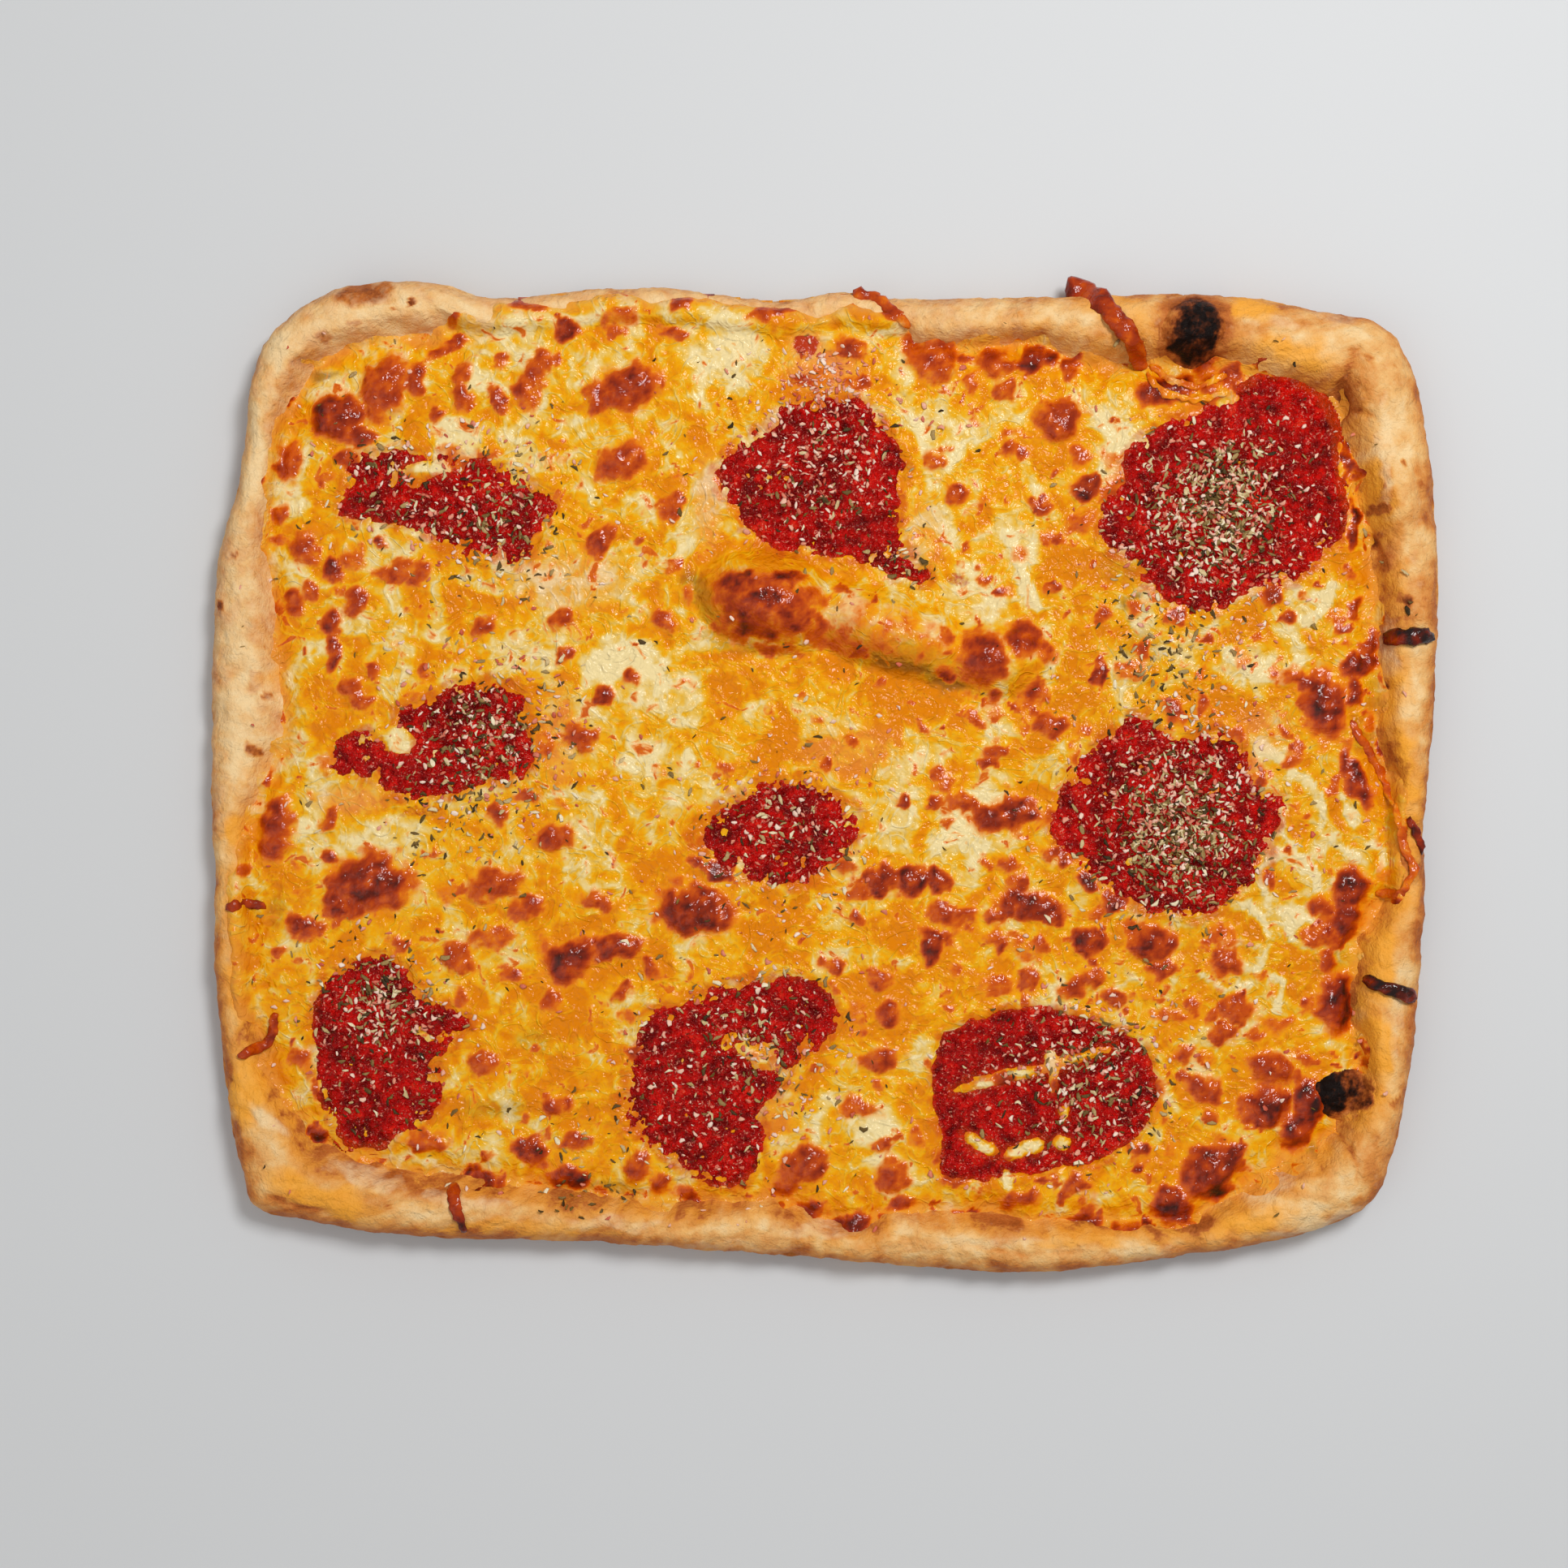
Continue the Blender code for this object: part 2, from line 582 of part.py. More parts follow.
def make_flakes(places, height_at, seed, collection):
    """A lens-shaped flake on each place, turned and tilted at random, half sunk."""
    rng = random.Random(seed)
    for number, (here, height) in enumerate(zip(places, height_at(np.array(places)))):
        shape = bmesh.new()
        bmesh.ops.create_uvsphere(shape, u_segments=6, v_segments=3, radius=1)
        length = rng.uniform(*FLAKE_LENGTH)
        size = Matrix.Diagonal((*(length * share for share in FLAKE_SHAPE), 1))
        turn = Matrix.Rotation(rng.uniform(0, math.tau), 4, "Z")
        tilt = Matrix.Rotation(rng.uniform(-FLAKE_TILT, FLAKE_TILT), 4, "Y")
        shape.transform(Matrix.Translation((*here, height + FLAKE_LIFT)) @ turn @ tilt @ size)
        mesh_object(f"flake_{number}", shape, collection)


def sprinkle(piece, places, height_at, seed, cutters):
    """Fuses flakes to the piece."""
    flakes = bpy.data.collections.new("flakes")
    cutters.children.link(flakes)
    make_flakes(places, height_at, seed, flakes)
    combine(piece, flakes, "UNION")
    for flake in list(flakes.objects):
        bpy.data.objects.remove(flake)
    bpy.data.collections.remove(flakes)


def lifted_copy(crust, cutters):
    """The crust a little higher, as the cutter that keeps what lies on it clear of it."""
    lifted = as_cutter(add_object("lifted_crust", crust.data.copy(), cutters))
    lifted.location.z = GAP
    return lifted


def make_cheese(lifted, parts, cutters):
    loop = cheese_loop()
    low, high = loop.min(axis=0) - MARGIN, loop.max(axis=0) + MARGIN
    cheese = relief_block("cheese", low, high, CHEESE_CELL, CHEESE_BOTTOM, cheese_top, parts)
    fewer = cheese.modifiers.new("fewer", "DECIMATE")
    fewer.ratio = CHEESE_KEPT
    settle(cheese)
    outline = as_cutter(prism("cheese_outline", loop, CUTTER_BOTTOM, CUTTER_TOP, cutters))
    combine(cheese, outline, "INTERSECT")
    combine(cheese, lifted, "DIFFERENCE")
    wells = bpy.data.collections.new("wells")
    cutters.children.link(wells)
    for name, sauce_loop in SAUCE_LOOPS.items():
        as_cutter(prism(f"well_{name}", sauce_loop, SAUCE_FLOOR - GAP, CUTTER_TOP, wells))
    combine(cheese, wells, "DIFFERENCE")
    sprinkle(cheese, [np.array(place(pixel)) for pixel in CHEESE_FLAKES], cheese_top, 40, cutters)
    cheese.data.materials.clear()
    cheese.data.materials.append(material("melted_cheese", (0.85, 0.42, 0.09), 0.4))
    return cheese


def make_sauce(name, loop, lifted, parts, cutters):
    inner = loop + inward_normals(loop) * GAP
    low, high = inner.min(axis=0) - MARGIN, inner.max(axis=0) + MARGIN
    sauce = relief_block(
        name, low, high, SAUCE_CELL, SAUCE_FLOOR, lambda points: sauce_top(points, loop), parts
    )
    outline = as_cutter(prism(f"outline_{name}", inner, CUTTER_BOTTOM, CUTTER_TOP, cutters))
    combine(sauce, outline, "INTERSECT")
    combine(sauce, lifted, "DIFFERENCE")
    seed = sorted(SAUCE_LOOPS).index(name)
    places = scatter(loop, SAUCE_FLAKES[name], seed)
    sprinkle(sauce, places, lambda points: sauce_top(points, loop), seed, cutters)
    sauce.data.materials.clear()
    sauce.data.materials.append(TOMATO)
    return sauce


for old in list(bpy.data.objects):
    bpy.data.objects.remove(old)

EDGE = smooth_loop([place(pixel) for pixel in OUTLINE], EDGE_STEP)
EDGE_LENGTH = np.hypot(*(EDGE - np.roll(EDGE, 1, axis=0)).T).sum()
SAUCE_LOOPS = {
    name: smooth_loop([place(pixel) for pixel in pixels], POOL_STEP)
    for name, pixels in SAUCES.items()
}
TOMATO = material("tomato_sauce", (0.36, 0.02, 0.012), 0.35)

pizza = bpy.data.collections.new("grandma_pizza")
helpers = bpy.data.collections.new("cutters")
for folder in (pizza, helpers):
    bpy.context.scene.collection.children.link(folder)
crust_cutter = lifted_copy(make_crust(pizza, helpers), helpers)
make_cheese(crust_cutter, pizza, helpers)
for sauce_name, sauce_outline in SAUCE_LOOPS.items():
    make_sauce(sauce_name, sauce_outline, crust_cutter, pizza, helpers)
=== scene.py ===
"""Dresses the grandma pizza: a finely dented dough rim, browned and blistered cheese, pulpy
spoonfuls of tomato sauce, and the herb and grated cheese flakes sprinkled over them.

Metres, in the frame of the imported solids. Places on the pizza are named by the pixel of the
overhead view in which they were read, 1932 pixels on a side, and turned into metres by place().
"""

import math
import random
from collections import namedtuple

import bmesh
import bpy
import numpy as np
from mathutils import Matrix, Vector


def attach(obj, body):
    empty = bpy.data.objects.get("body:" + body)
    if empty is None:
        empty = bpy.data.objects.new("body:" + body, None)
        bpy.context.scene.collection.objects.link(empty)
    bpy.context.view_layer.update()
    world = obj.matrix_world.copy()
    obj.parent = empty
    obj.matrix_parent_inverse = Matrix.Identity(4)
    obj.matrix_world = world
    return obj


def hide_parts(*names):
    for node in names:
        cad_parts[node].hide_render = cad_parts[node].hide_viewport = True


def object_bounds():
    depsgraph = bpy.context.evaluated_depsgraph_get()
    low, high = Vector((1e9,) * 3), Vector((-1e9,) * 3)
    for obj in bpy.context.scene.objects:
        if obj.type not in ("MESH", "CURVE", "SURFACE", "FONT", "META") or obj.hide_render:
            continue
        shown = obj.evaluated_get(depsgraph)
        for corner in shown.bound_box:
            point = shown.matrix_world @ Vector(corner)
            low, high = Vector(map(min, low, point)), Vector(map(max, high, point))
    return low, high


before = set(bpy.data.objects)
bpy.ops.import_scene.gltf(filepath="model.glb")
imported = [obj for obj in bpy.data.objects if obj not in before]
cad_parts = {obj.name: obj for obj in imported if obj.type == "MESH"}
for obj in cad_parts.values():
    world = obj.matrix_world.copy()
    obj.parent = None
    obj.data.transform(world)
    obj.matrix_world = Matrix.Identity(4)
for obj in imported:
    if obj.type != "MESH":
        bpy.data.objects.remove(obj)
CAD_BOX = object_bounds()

MM = 0.001

# Scale of the overhead view, and the camera that took it
PIXEL = 0.256 * MM
MIDDLE = (1015.5, 955.0)
VIEW_PIXELS = 1932
VIEW_MIDDLE = (966, 966)
FOCUS_HEIGHT = 11 * MM
SENSOR = 36
LENS = 70

# Dough: its shape is that of the solids, its relief is finer
FLOOR_TOP = 8.5 * MM
RIM_CROWN = 0.45
RIM_BULGE = 0.42
RIM_ROUNDNESS = 2.0
RIM_TUCK = 4.0 * MM
RIM_WAVE = 1.3 * MM
RIM_LUMP = 0.6 * MM
RIM_FOOT = 1.5 * MM
NARROWEST_RIM = 13.0 * MM
RIM_COLUMNS = 960
SLOPE_RINGS = 26
OUTER_RINGS = 20
UNDER_RINGS = 10
DOUBLE = 0.02 * MM
DOUGH_ROUGHNESS = 0.28 * MM
BUBBLE_CELL = 0.4 * MM
BUBBLE_BOTTOM = 6.0 * MM
BUBBLE_MARGIN = 2.0 * MM
DENT = 0.3 * MM
CHARRED = 0.9

# Cheese and sauce
CHEESE_DEPTH = 3.2 * MM
CHEESE_EDGE_DEPTH = 0.9 * MM
CHEESE_EDGE_RUN = 10.0 * MM
CHEESE_RAGGED = 3.0 * MM
CHEESE_MARGIN = 2.2 * MM
CHEESE_REACH = 5.5 * MM
CHEESE_WAVE = 0.5 * MM
CHEESE_CELL = 1.02 * MM
CHEESE_BOTTOM = 8.6 * MM
CHEESE_CORNERS = 240
CHEESE_FINE = 0.32 * MM
DOME_STEEPNESS = 1.15
DOME_FULLNESS = 0.6
BLISTER_REACH = 1.7
BLISTER_FADE = 1.6
BLISTER_STEEPNESS = 0.42
TALLEST_BLISTER = 3.2 * MM
CRINKLE = 0.28
CURD = 0.35 * MM
EDGE_SINK = 3.8 * MM
EDGE_SINK_RUN = 4.5 * MM
TOP_STRIP = 130.0 * MM
EDGE_STEP = 5.0 * MM
POOL_STEP = 5.0 * MM
LIP = 0.6 * MM
LIP_RUN = 5.0 * MM
HOLLOW = 2.2 * MM
HOLLOW_RUN = 3.0 * MM
STAIN_RUN = 3.5 * MM
SAUCE_BOTTOM = 9.6 * MM
SAUCE_LEVEL = 11.6 * MM
SAUCE_CROWN = 0.7 * MM
SAUCE_CELL = 0.6 * MM
SAUCE_RAGGED = 1.15 * MM
SAUCE_MARGIN = 3.0 * MM
SAUCE_PULP = 0.5 * MM

# Strings of cheese
STRING_STEP = 0.9 * MM
STRING_SIDES = 12

# Least height of a relief over its piece's underside
THINNEST = 0.1 * MM

# Distances along a ray from the middle at which the inset from the edge is worked out: from, to
# and step, and how far beyond the edge they are used
RAY_REACH = (100 * MM, 262 * MM, 2 * MM)
RAY_BEYOND = 9 * MM

# Random relief: cells on a side of the lattice of random directions, the shift that keeps most
# places on it positive, and the fewest cells round a lap
LATTICE = 64
LATTICE_SHIFT = 320
FEWEST_COLUMNS = 4

# Room left for each flake while a whole flock of them is made
FLOCK_STEP = 4

# Specks of browning: how many, how many of them all over, the pixel where the rest start, the
# pixels that bound the cheese, the least half width in pixels and what is added to it, and tones
SPECKS = 1000
SPECKS_ALL_OVER = 560
RIGHT_SIDE = 1150
CHEESE_VIEW = (280, 1750, 365, 1545)
SMALLEST_SPECK = 3
SPECK_GROWTH = 12
SPECK_TONES = [0.36, 0.4, 0.44, 0.48, 0.52, 0.58]

# Floor, and lamps as place, size and watts
FLOOR_SIZE = 3
FLOOR_GAP = 0.3 * MM
LAMPS = {"key": ((0.4, 0.5, 1.2), 0.36, 11.4), "fill": ((-0.7, -0.6, 1.2), 1.4, 3)}
SKY = (1, 0.98, 0.95, 1)
SKY_STRENGTH = 0.4

# How far a browned blister's tone takes it from gold to charcoal
LIGHT, MEDIUM, DARK, BURNT = 0.47, 0.55, 0.7, 0.81

# The dough's edge
OUTLINE = [
    (261, 1100), (258, 900), (266, 700), (293, 595), (309, 470), (338, 405), (400, 360),
    (470, 345), (545, 349), (610, 364), (760, 351), (860, 356), (960, 367), (1045, 356),
    (1110, 366), (1290, 364), (1500, 362), (1640, 385), (1695, 394), (1735, 440),
    (1760, 540), (1772, 680), (1771, 830), (1757, 1010), (1757, 1120), (1744, 1280),
    (1718, 1420), (1690, 1482), (1610, 1520), (1490, 1545), (1300, 1568), (1150, 1564),
    (980, 1550), (720, 1532), (500, 1524), (370, 1504), (315, 1490), (296, 1445),
    (280, 1360), (264, 1230),
]

# Angle round the middle in degrees, and the height in millimetres of the rim's crown there
RIM_HEIGHTS = [
    (5, 19), (27, 20.5), (40, 21), (57, 20), (75, 16.5), (86, 13), (100, 12.5), (120, 12.5),
    (127, 15.5), (137, 20), (154, 18), (178, 16.5), (190, 15), (204, 15), (217, 20),
    (238, 18), (273, 17), (303, 17), (322, 20.5), (340, 19), (352, 17),
]

# Angle, and how far in from the outline the cheese stops there, in millimetres
CHEESE_INSETS = [
    (5, 17), (17, 19), (24, 21), (30, 25), (36, 26), (43, 24), (48, 22), (57, 21), (64, 14),
    (77, 15), (84, 6), (101, 3.5), (125, 3.5), (128.5, 8), (131, 15), (137, 19), (141, 17),
    (147, 12), (154, 11), (165, 20), (176, 23), (183, 13), (191, 7), (201, 9), (208, 14),
    (216, 25), (222, 21), (238, 16), (250, 14), (264, 18), (273, 10), (279, 18), (291, 18),
    (310, 11), (322, 25), (330, 13), (336, 21), (343, 20), (350, 7), (356, 7),
]

# Angle, and how golden the baked rim is there, from floury cream at 0 to tan at 1
RIM_TONES = [
    (0, 0.56), (12, 0.44), (35, 0.36), (50, 0.36), (65, 0.26), (77, 0.2), (100, 0.18), (128, 0.18),
    (150, 0.22), (170, 0.16), (195, 0.32), (212, 0.5), (228, 0.62), (250, 0.44), (280, 0.34),
    (305, 0.45), (325, 0.38), (345, 0.54),
]

# Angle, and how far the oil of the cheese has run up the rim there
OILED = [
    (0, 1), (20, 0.8), (35, 0.45), (60, 0.5), (90, 0.2), (120, 0.1), (150, 0.1), (175, 0.3),
    (190, 0.7), (215, 0.9), (240, 0.8), (270, 0.5), (300, 0.7), (340, 1),
]

# The edge of each spoonful of sauce
SAUCES = {
    "sauce_top_left": [
        (428, 562), (476, 550), (574, 557), (638, 580), (688, 608), (680, 645), (645, 701),
        (606, 688), (554, 684), (512, 661), (460, 647), (417, 638), (421, 600),
    ],
    "sauce_top_middle": [
        (876, 582), (900, 548), (937, 522), (959, 500), (998, 486), (1045, 485), (1080, 500),
        (1102, 535), (1120, 572), (1113, 620), (1116, 668), (1150, 698), (1142, 722),
        (1098, 716), (1060, 694), (1000, 690), (940, 676), (903, 636),
    ],
    "sauce_top_right": [
        (1413, 531), (1440, 511), (1492, 492), (1527, 480), (1543, 463), (1600, 468),
        (1636, 505), (1649, 560), (1658, 620), (1653, 668), (1600, 717), (1541, 737),
        (1492, 759), (1441, 757), (1420, 729), (1374, 688), (1347, 655), (1351, 622),
        (1381, 590), (1378, 558),
    ],
    "sauce_left": [
        (484, 889), (497, 867), (544, 849), (577, 834), (625, 834), (656, 864), (657, 897),
        (663, 930), (648, 963), (600, 968), (545, 985), (495, 988), (452, 963), (410, 959),
        (400, 925), (426, 902), (455, 896), (478, 912), (497, 928), (499, 908),
    ],
    "sauce_middle": [
        (848, 1028), (888, 990), (922, 966), (972, 955), (1010, 964), (1045, 983), (1066, 1015),
        (1050, 1049), (1025, 1068), (996, 1091), (950, 1095), (905, 1082), (870, 1060),
    ],
    "sauce_right": [
        (1364, 899), (1390, 874), (1411, 874), (1440, 899), (1500, 899), (1537, 916),
        (1548, 965), (1590, 981), (1579, 1020), (1557, 1084), (1520, 1107), (1491, 1135),
        (1440, 1129), (1395, 1125), (1350, 1091), (1299, 1047), (1287, 1018), (1301, 978),
        (1319, 940),
    ],
    "sauce_bottom_left": [
        (387, 1226), (405, 1196), (432, 1177), (480, 1173), (508, 1192), (532, 1226),
        (588, 1252), (570, 1280), (547, 1303), (552, 1345), (529, 1382), (477, 1411),
        (426, 1410), (406, 1378), (384, 1334), (380, 1285),
    ],
    "sauce_bottom_middle": [
        (800, 1241), (855, 1229), (877, 1211), (935, 1201), (1000, 1201), (1027, 1225),
        (1039, 1257), (1017, 1290), (978, 1317), (962, 1350), (940, 1370), (949, 1405),
        (931, 1449), (895, 1465), (856, 1454), (801, 1416), (769, 1389), (765, 1345),
        (779, 1290),
    ],
    "sauce_bottom_right": [
        (1147, 1293), (1167, 1267), (1225, 1244), (1285, 1236), (1345, 1253), (1395, 1271),
        (1421, 1306), (1429, 1350), (1411, 1393), (1364, 1429), (1300, 1445), (1240, 1454),
        (1190, 1458), (1156, 1446), (1154, 1405), (1144, 1340),
    ],
}

# Pixel, half length and half width in millimetres, turn in degrees, height over what is round it
Dome = namedtuple("Dome", "column row long wide turn rise")

MIDDLE_BUBBLES = [
    Dome(950, 742, 22, 13.5, -14, 11.0),
    Dome(1095, 778, 31, 10.5, -19, 7.5),
    Dome(1222, 812, 17, 9, -8, 4.5),
]

CHARRED_BUBBLES = [
    Dome(1468, 413, 11.5, 9.5, 80, 3.0),
    Dome(1645, 1345, 11.5, 9.0, 15, 4.5),
]
SOFT_BUBBLES = [
    Dome(1712, 606, 13.0, 7.0, -78, 1.5),
]

# Pixel, half width and half height in pixels, turn in degrees, and tone
Spot = namedtuple("Spot", "column row wide high turn tone")


def toned(groups):
    """Spots from their places, grouped by tone. A place without a turn isn't turned."""
    return [
        Spot(*where, *[0] * (5 - len(where)), tone)
        for tone, places in groups.items()
        for where in places
    ]


# Browned blisters of the cheese
BLISTERS = toned({
    LIGHT: [
        (603, 1154, 30, 14, 10), (682, 1233, 14, 14), (1229, 1213, 22, 14), (1445, 1252, 24, 8),
        (1057, 1365, 26, 16), (1138, 899, 10, 10), (1170, 985, 10, 10), (1030, 792, 40, 12, -12),
        (1000, 740, 26, 14, -20), (827, 699, 14, 10), (958, 802, 36, 9, -10), (1330, 642, 26, 16, 20),
        (1377, 592, 14, 10), (1330, 560, 20, 12), (1040, 728, 14, 6, -20),
    ],
    0.5: [(905, 772, 26, 20, -20), (1002, 772, 26, 15, -20)],
    0.52: [(938, 746, 66, 40, -20)],
    MEDIUM: [
        (473, 480, 27, 45, -20), (768, 568, 36, 22, 25), (569, 487, 14, 20), (539, 507, 10, 10),
        (355, 570, 16, 26), (321, 590, 8, 8), (343, 634, 15, 12), (377, 674, 20, 22),
        (488, 703, 25, 12, 15), (436, 742, 14, 20, -20), (692, 762, 16, 14), (598, 772, 18, 12, 30),
        (716, 909, 22, 20), (431, 850, 16, 16), (741, 664, 14, 20, -30), (682, 1031, 24, 18),
        (611, 1090, 36, 22, 10), (652, 1117, 24, 14), (736, 1110, 20, 14), (564, 1181, 24, 18, -30),
        (633, 1203, 16, 10), (763, 1225, 12, 12), (596, 1311, 20, 16), (689, 1363, 20, 16),
        (711, 1407, 22, 12), (785, 1436, 18, 18), (814, 1459, 16, 16), (525, 1404, 30, 14),
        (974, 1458, 20, 20), (1180, 1125, 24, 12), (1028, 1188, 14, 12), (1084, 1203, 16, 14),
        (1344, 1203, 16, 14), (1374, 1230, 18, 14), (1524, 1242, 24, 18), (1482, 1343, 26, 18, -15),
        (1087, 1304, 30, 16, 10), (1099, 1446, 20, 24, -20), (998, 1493, 14, 14), (1116, 1483, 16, 12),
        (1175, 1505, 14, 12), (1259, 1478, 24, 14), (1327, 1458, 16, 14), (1337, 1506, 24, 12, 10),
        (1229, 926, 18, 12), (1293, 894, 22, 16), (1509, 1186, 22, 18), (1633, 1184, 12, 18),
        (1178, 610, 16, 14), (1246, 556, 10, 10), (1151, 443, 34, 26, -25), (1227, 448, 26, 18),
        (1585, 760, 10, 10), (839, 374, 16, 10), (832, 413, 14, 12), (662, 453, 24, 14, 50),
        (647, 477, 18, 18), (657, 374, 20, 8, -20), (969, 379, 12, 12), (1286, 803, 16, 16),
        (1278, 853, 16, 11), (1056, 810, 12, 6, -10), (1160, 826, 14, 9), (545, 432, 32, 8, 35),
        (561, 388, 8, 20, -15), (648, 380, 24, 7, -20), (948, 385, 26, 10, 12), (1088, 382, 38, 8, -34),
        (622, 1485, 8, 14), (1627, 1118, 18, 16), (1298, 1053, 14, 12), (1238, 482, 16, 14),
        (1057, 471, 16, 12), (1507, 1271, 16, 14), (649, 982, 16, 10), (1323, 1220, 16, 12),
        (388, 1340, 6, 12),
    ],
    0.58: [(342, 1020, 22, 42, -8)],
    0.6: [
        (759, 1166, 34, 16, 8), (995, 1434, 29, 24, 20), (1565, 1316, 28, 24), (1303, 517, 30, 28),
        (1260, 787, 24, 24), (1637, 1158, 14, 14), (1668, 750, 10, 16), (1232, 1132, 16, 10),
        (1431, 1196, 18, 10),
    ],
    0.62: [(775, 477, 40, 26, 14), (444, 539, 18, 14)],
    DARK: [
        (417, 514, 34, 27, 15), (699, 408, 16, 14), (409, 701, 14, 14), (409, 769, 12, 18),
        (412, 806, 10, 20), (746, 855, 16, 12), (458, 1087, 50, 32, -8), (422, 1120, 24, 14, 20),
        (368, 1137, 17, 16), (701, 1184, 36, 24, 30), (856, 1122, 48, 29, -6), (657, 1419, 24, 18),
        (701, 1449, 22, 14, -10), (593, 1463, 16, 22), (390, 1395, 9, 9), (1239, 1004, 42, 19, 16),
        (1085, 1083, 20, 17), (1121, 1085, 19, 18), (1155, 1085, 18, 17), (1268, 1117, 42, 18, -4),
        (1146, 1164, 16, 22), (1340, 1159, 20, 18), (1418, 1162, 29, 24), (1592, 1398, 18, 18),
        (1492, 1440, 42, 33, 35), (1445, 1484, 28, 22), (1050, 1508, 24, 14, 5), (1631, 870, 24, 43, 8),
        (1674, 818, 22, 15, 20), (1671, 960, 12, 42, 25), (1664, 1095, 22, 26), (1657, 1134, 18, 22),
        (1645, 1236, 24, 36), (1337, 600, 18, 16), (1276, 443, 28, 15, 20), (1352, 833, 8, 14),
        (878, 359, 14, 10, 25), (1057, 366, 24, 10), (1210, 811, 28, 33), (910, 722, 20, 12),
        (970, 714, 22, 10), (950, 748, 34, 12, -24), (930, 772, 30, 11, -24), (590, 362, 20, 8, -15),
        (777, 354, 12, 6), (600, 1475, 14, 12), (1438, 482, 38, 18, 10), (1561, 447, 24, 9, -24),
        (1372, 1112, 17, 12, 20), (1338, 1087, 16, 12, -30), (1446, 758, 16, 10), (880, 1072, 36, 9, -24),
        (1661, 560, 7, 26), (1667, 646, 8, 30), (1668, 850, 12, 20), (985, 775, 16, 8, -10),
        (915, 776, 12, 10), (1165, 832, 12, 7), (958, 744, 12, 8),
    ],
    0.76: [(1560, 1362, 28, 25)],
    BURNT: [
        (1520, 1420, 14, 12), (1611, 1360, 17, 32), (917, 712, 12, 8, 20), (969, 712, 14, 7, 15),
        (935, 735, 10, 6),
    ],
})

# Patches of the cheese without relief, by how strong they are
OILY = toned({
    0.3: [(1100, 735, 60, 8, -20)],
    0.4: [(1320, 700, 60, 26)],
    0.5: [(1350, 470, 60, 30), (1210, 1180, 60, 40)],
    0.55: [(800, 1200, 110, 26), (1000, 910, 90, 30)],
    0.6: [(590, 760, 46, 30), (1050, 1290, 30, 60)],
    0.7: [(1080, 1240, 55, 66), (690, 1350, 46, 36), (330, 1340, 22, 34), (1700, 970, 20, 60)],
    0.75: [(1040, 1140, 120, 32)],
    0.8: [(700, 1262, 48, 74), (1490, 850, 36, 30), (1648, 1004, 12, 20), (1545, 1150, 12, 18)],
    0.9: [(1555, 856, 44, 18)],
    1.0: [
        (1060, 850, 125, 42, -4), (945, 686, 76, 15, -4), (1596, 1024, 16, 26), (1588, 1094, 20, 22),
        (1607, 1146, 10, 11),
    ],
})
PALE = toned({
    0.3: [(1450, 1180, 60, 22), (380, 1000, 24, 60)],
    0.35: [(1580, 1110, 40, 40)],
    0.4: [(1560, 830, 50, 30), (1150, 540, 40, 60)],
    0.5: [
        (480, 1030, 70, 20), (640, 1180, 26, 20), (860, 610, 24, 60), (1010, 385, 30, 16),
        (350, 612, 20, 30), (760, 1480, 60, 8), (1400, 590, 24, 40), (1190, 690, 24, 30),
    ],
    0.6: [
        (1620, 735, 36, 36), (790, 960, 50, 60), (1370, 545, 34, 34), (740, 382, 46, 20),
        (1230, 392, 60, 22), (560, 570, 60, 14), (620, 400, 30, 20), (1075, 1420, 30, 40),
    ],
    0.7: [
        (1190, 1010, 60, 40), (600, 450, 60, 34), (620, 715, 60, 20), (1050, 1390, 60, 30),
        (1260, 700, 20, 60, 20), (578, 528, 50, 22), (520, 447, 26, 22),
    ],
    0.8: [(470, 680, 50, 22), (1090, 766, 64, 16, -18)],
    0.9: [(1215, 862, 30, 16)],
    1.0: [
        (890, 430, 48, 66), (760, 812, 84, 30, -8), (1258, 716, 10, 50, 14), (1232, 738, 18, 10),
        (1052, 745, 26, 12, -20),
    ],
    1.2: [(1292, 830, 8, 34, -10)],
    1.3: [(795, 810, 18, 22)],
})
PINKISH = toned({
    0.3: [(960, 1340, 22, 60)],
    0.35: [(1050, 925, 60, 30)],
    0.4: [(1140, 660, 24, 40)],
    0.5: [(700, 715, 70, 34), (690, 905, 20, 60), (1560, 900, 30, 26)],
    0.6: [(1300, 1318, 20, 24)],
    0.7: [(872, 620, 16, 50), (430, 985, 40, 16)],
    0.8: [(1015, 456, 40, 24)],
    1.0: [(996, 428, 22, 18)],
})

# Painted shade on the cheese: dull brownish patches where it lies deep or steep, as under the ridge and
# at the rim's foot
PAINTED_SHADE_PATCHES = toned({
    0.1: [(1520, 900, 240, 440)],
    0.2: [(960, 752, 60, 44, -20)],
    0.3: [(655, 1280, 20, 14), (1380, 700, 30, 20)],
    0.35: [(1408, 800, 24, 26)],
    0.4: [(340, 1120, 12, 26), (610, 1366, 40, 14), (1640, 900, 30, 10), (1640, 1180, 20, 30)],
    0.45: [(1092, 796, 96, 20, -18)],
    0.5: [(900, 790, 34, 10, -20), (1676, 905, 10, 26, 10), (740, 1462, 60, 8, -6), (1690, 870, 10, 40)],
    0.7: [(1622, 1424, 8, 14)],
    0.8: [(398, 462, 18, 6, 10)],
    0.9: [(866, 735, 14, 36, 30)],
    1.0: [(1092, 812, 104, 11, -18), (1168, 838, 34, 11, -14), (1391, 738, 12, 9)],
})

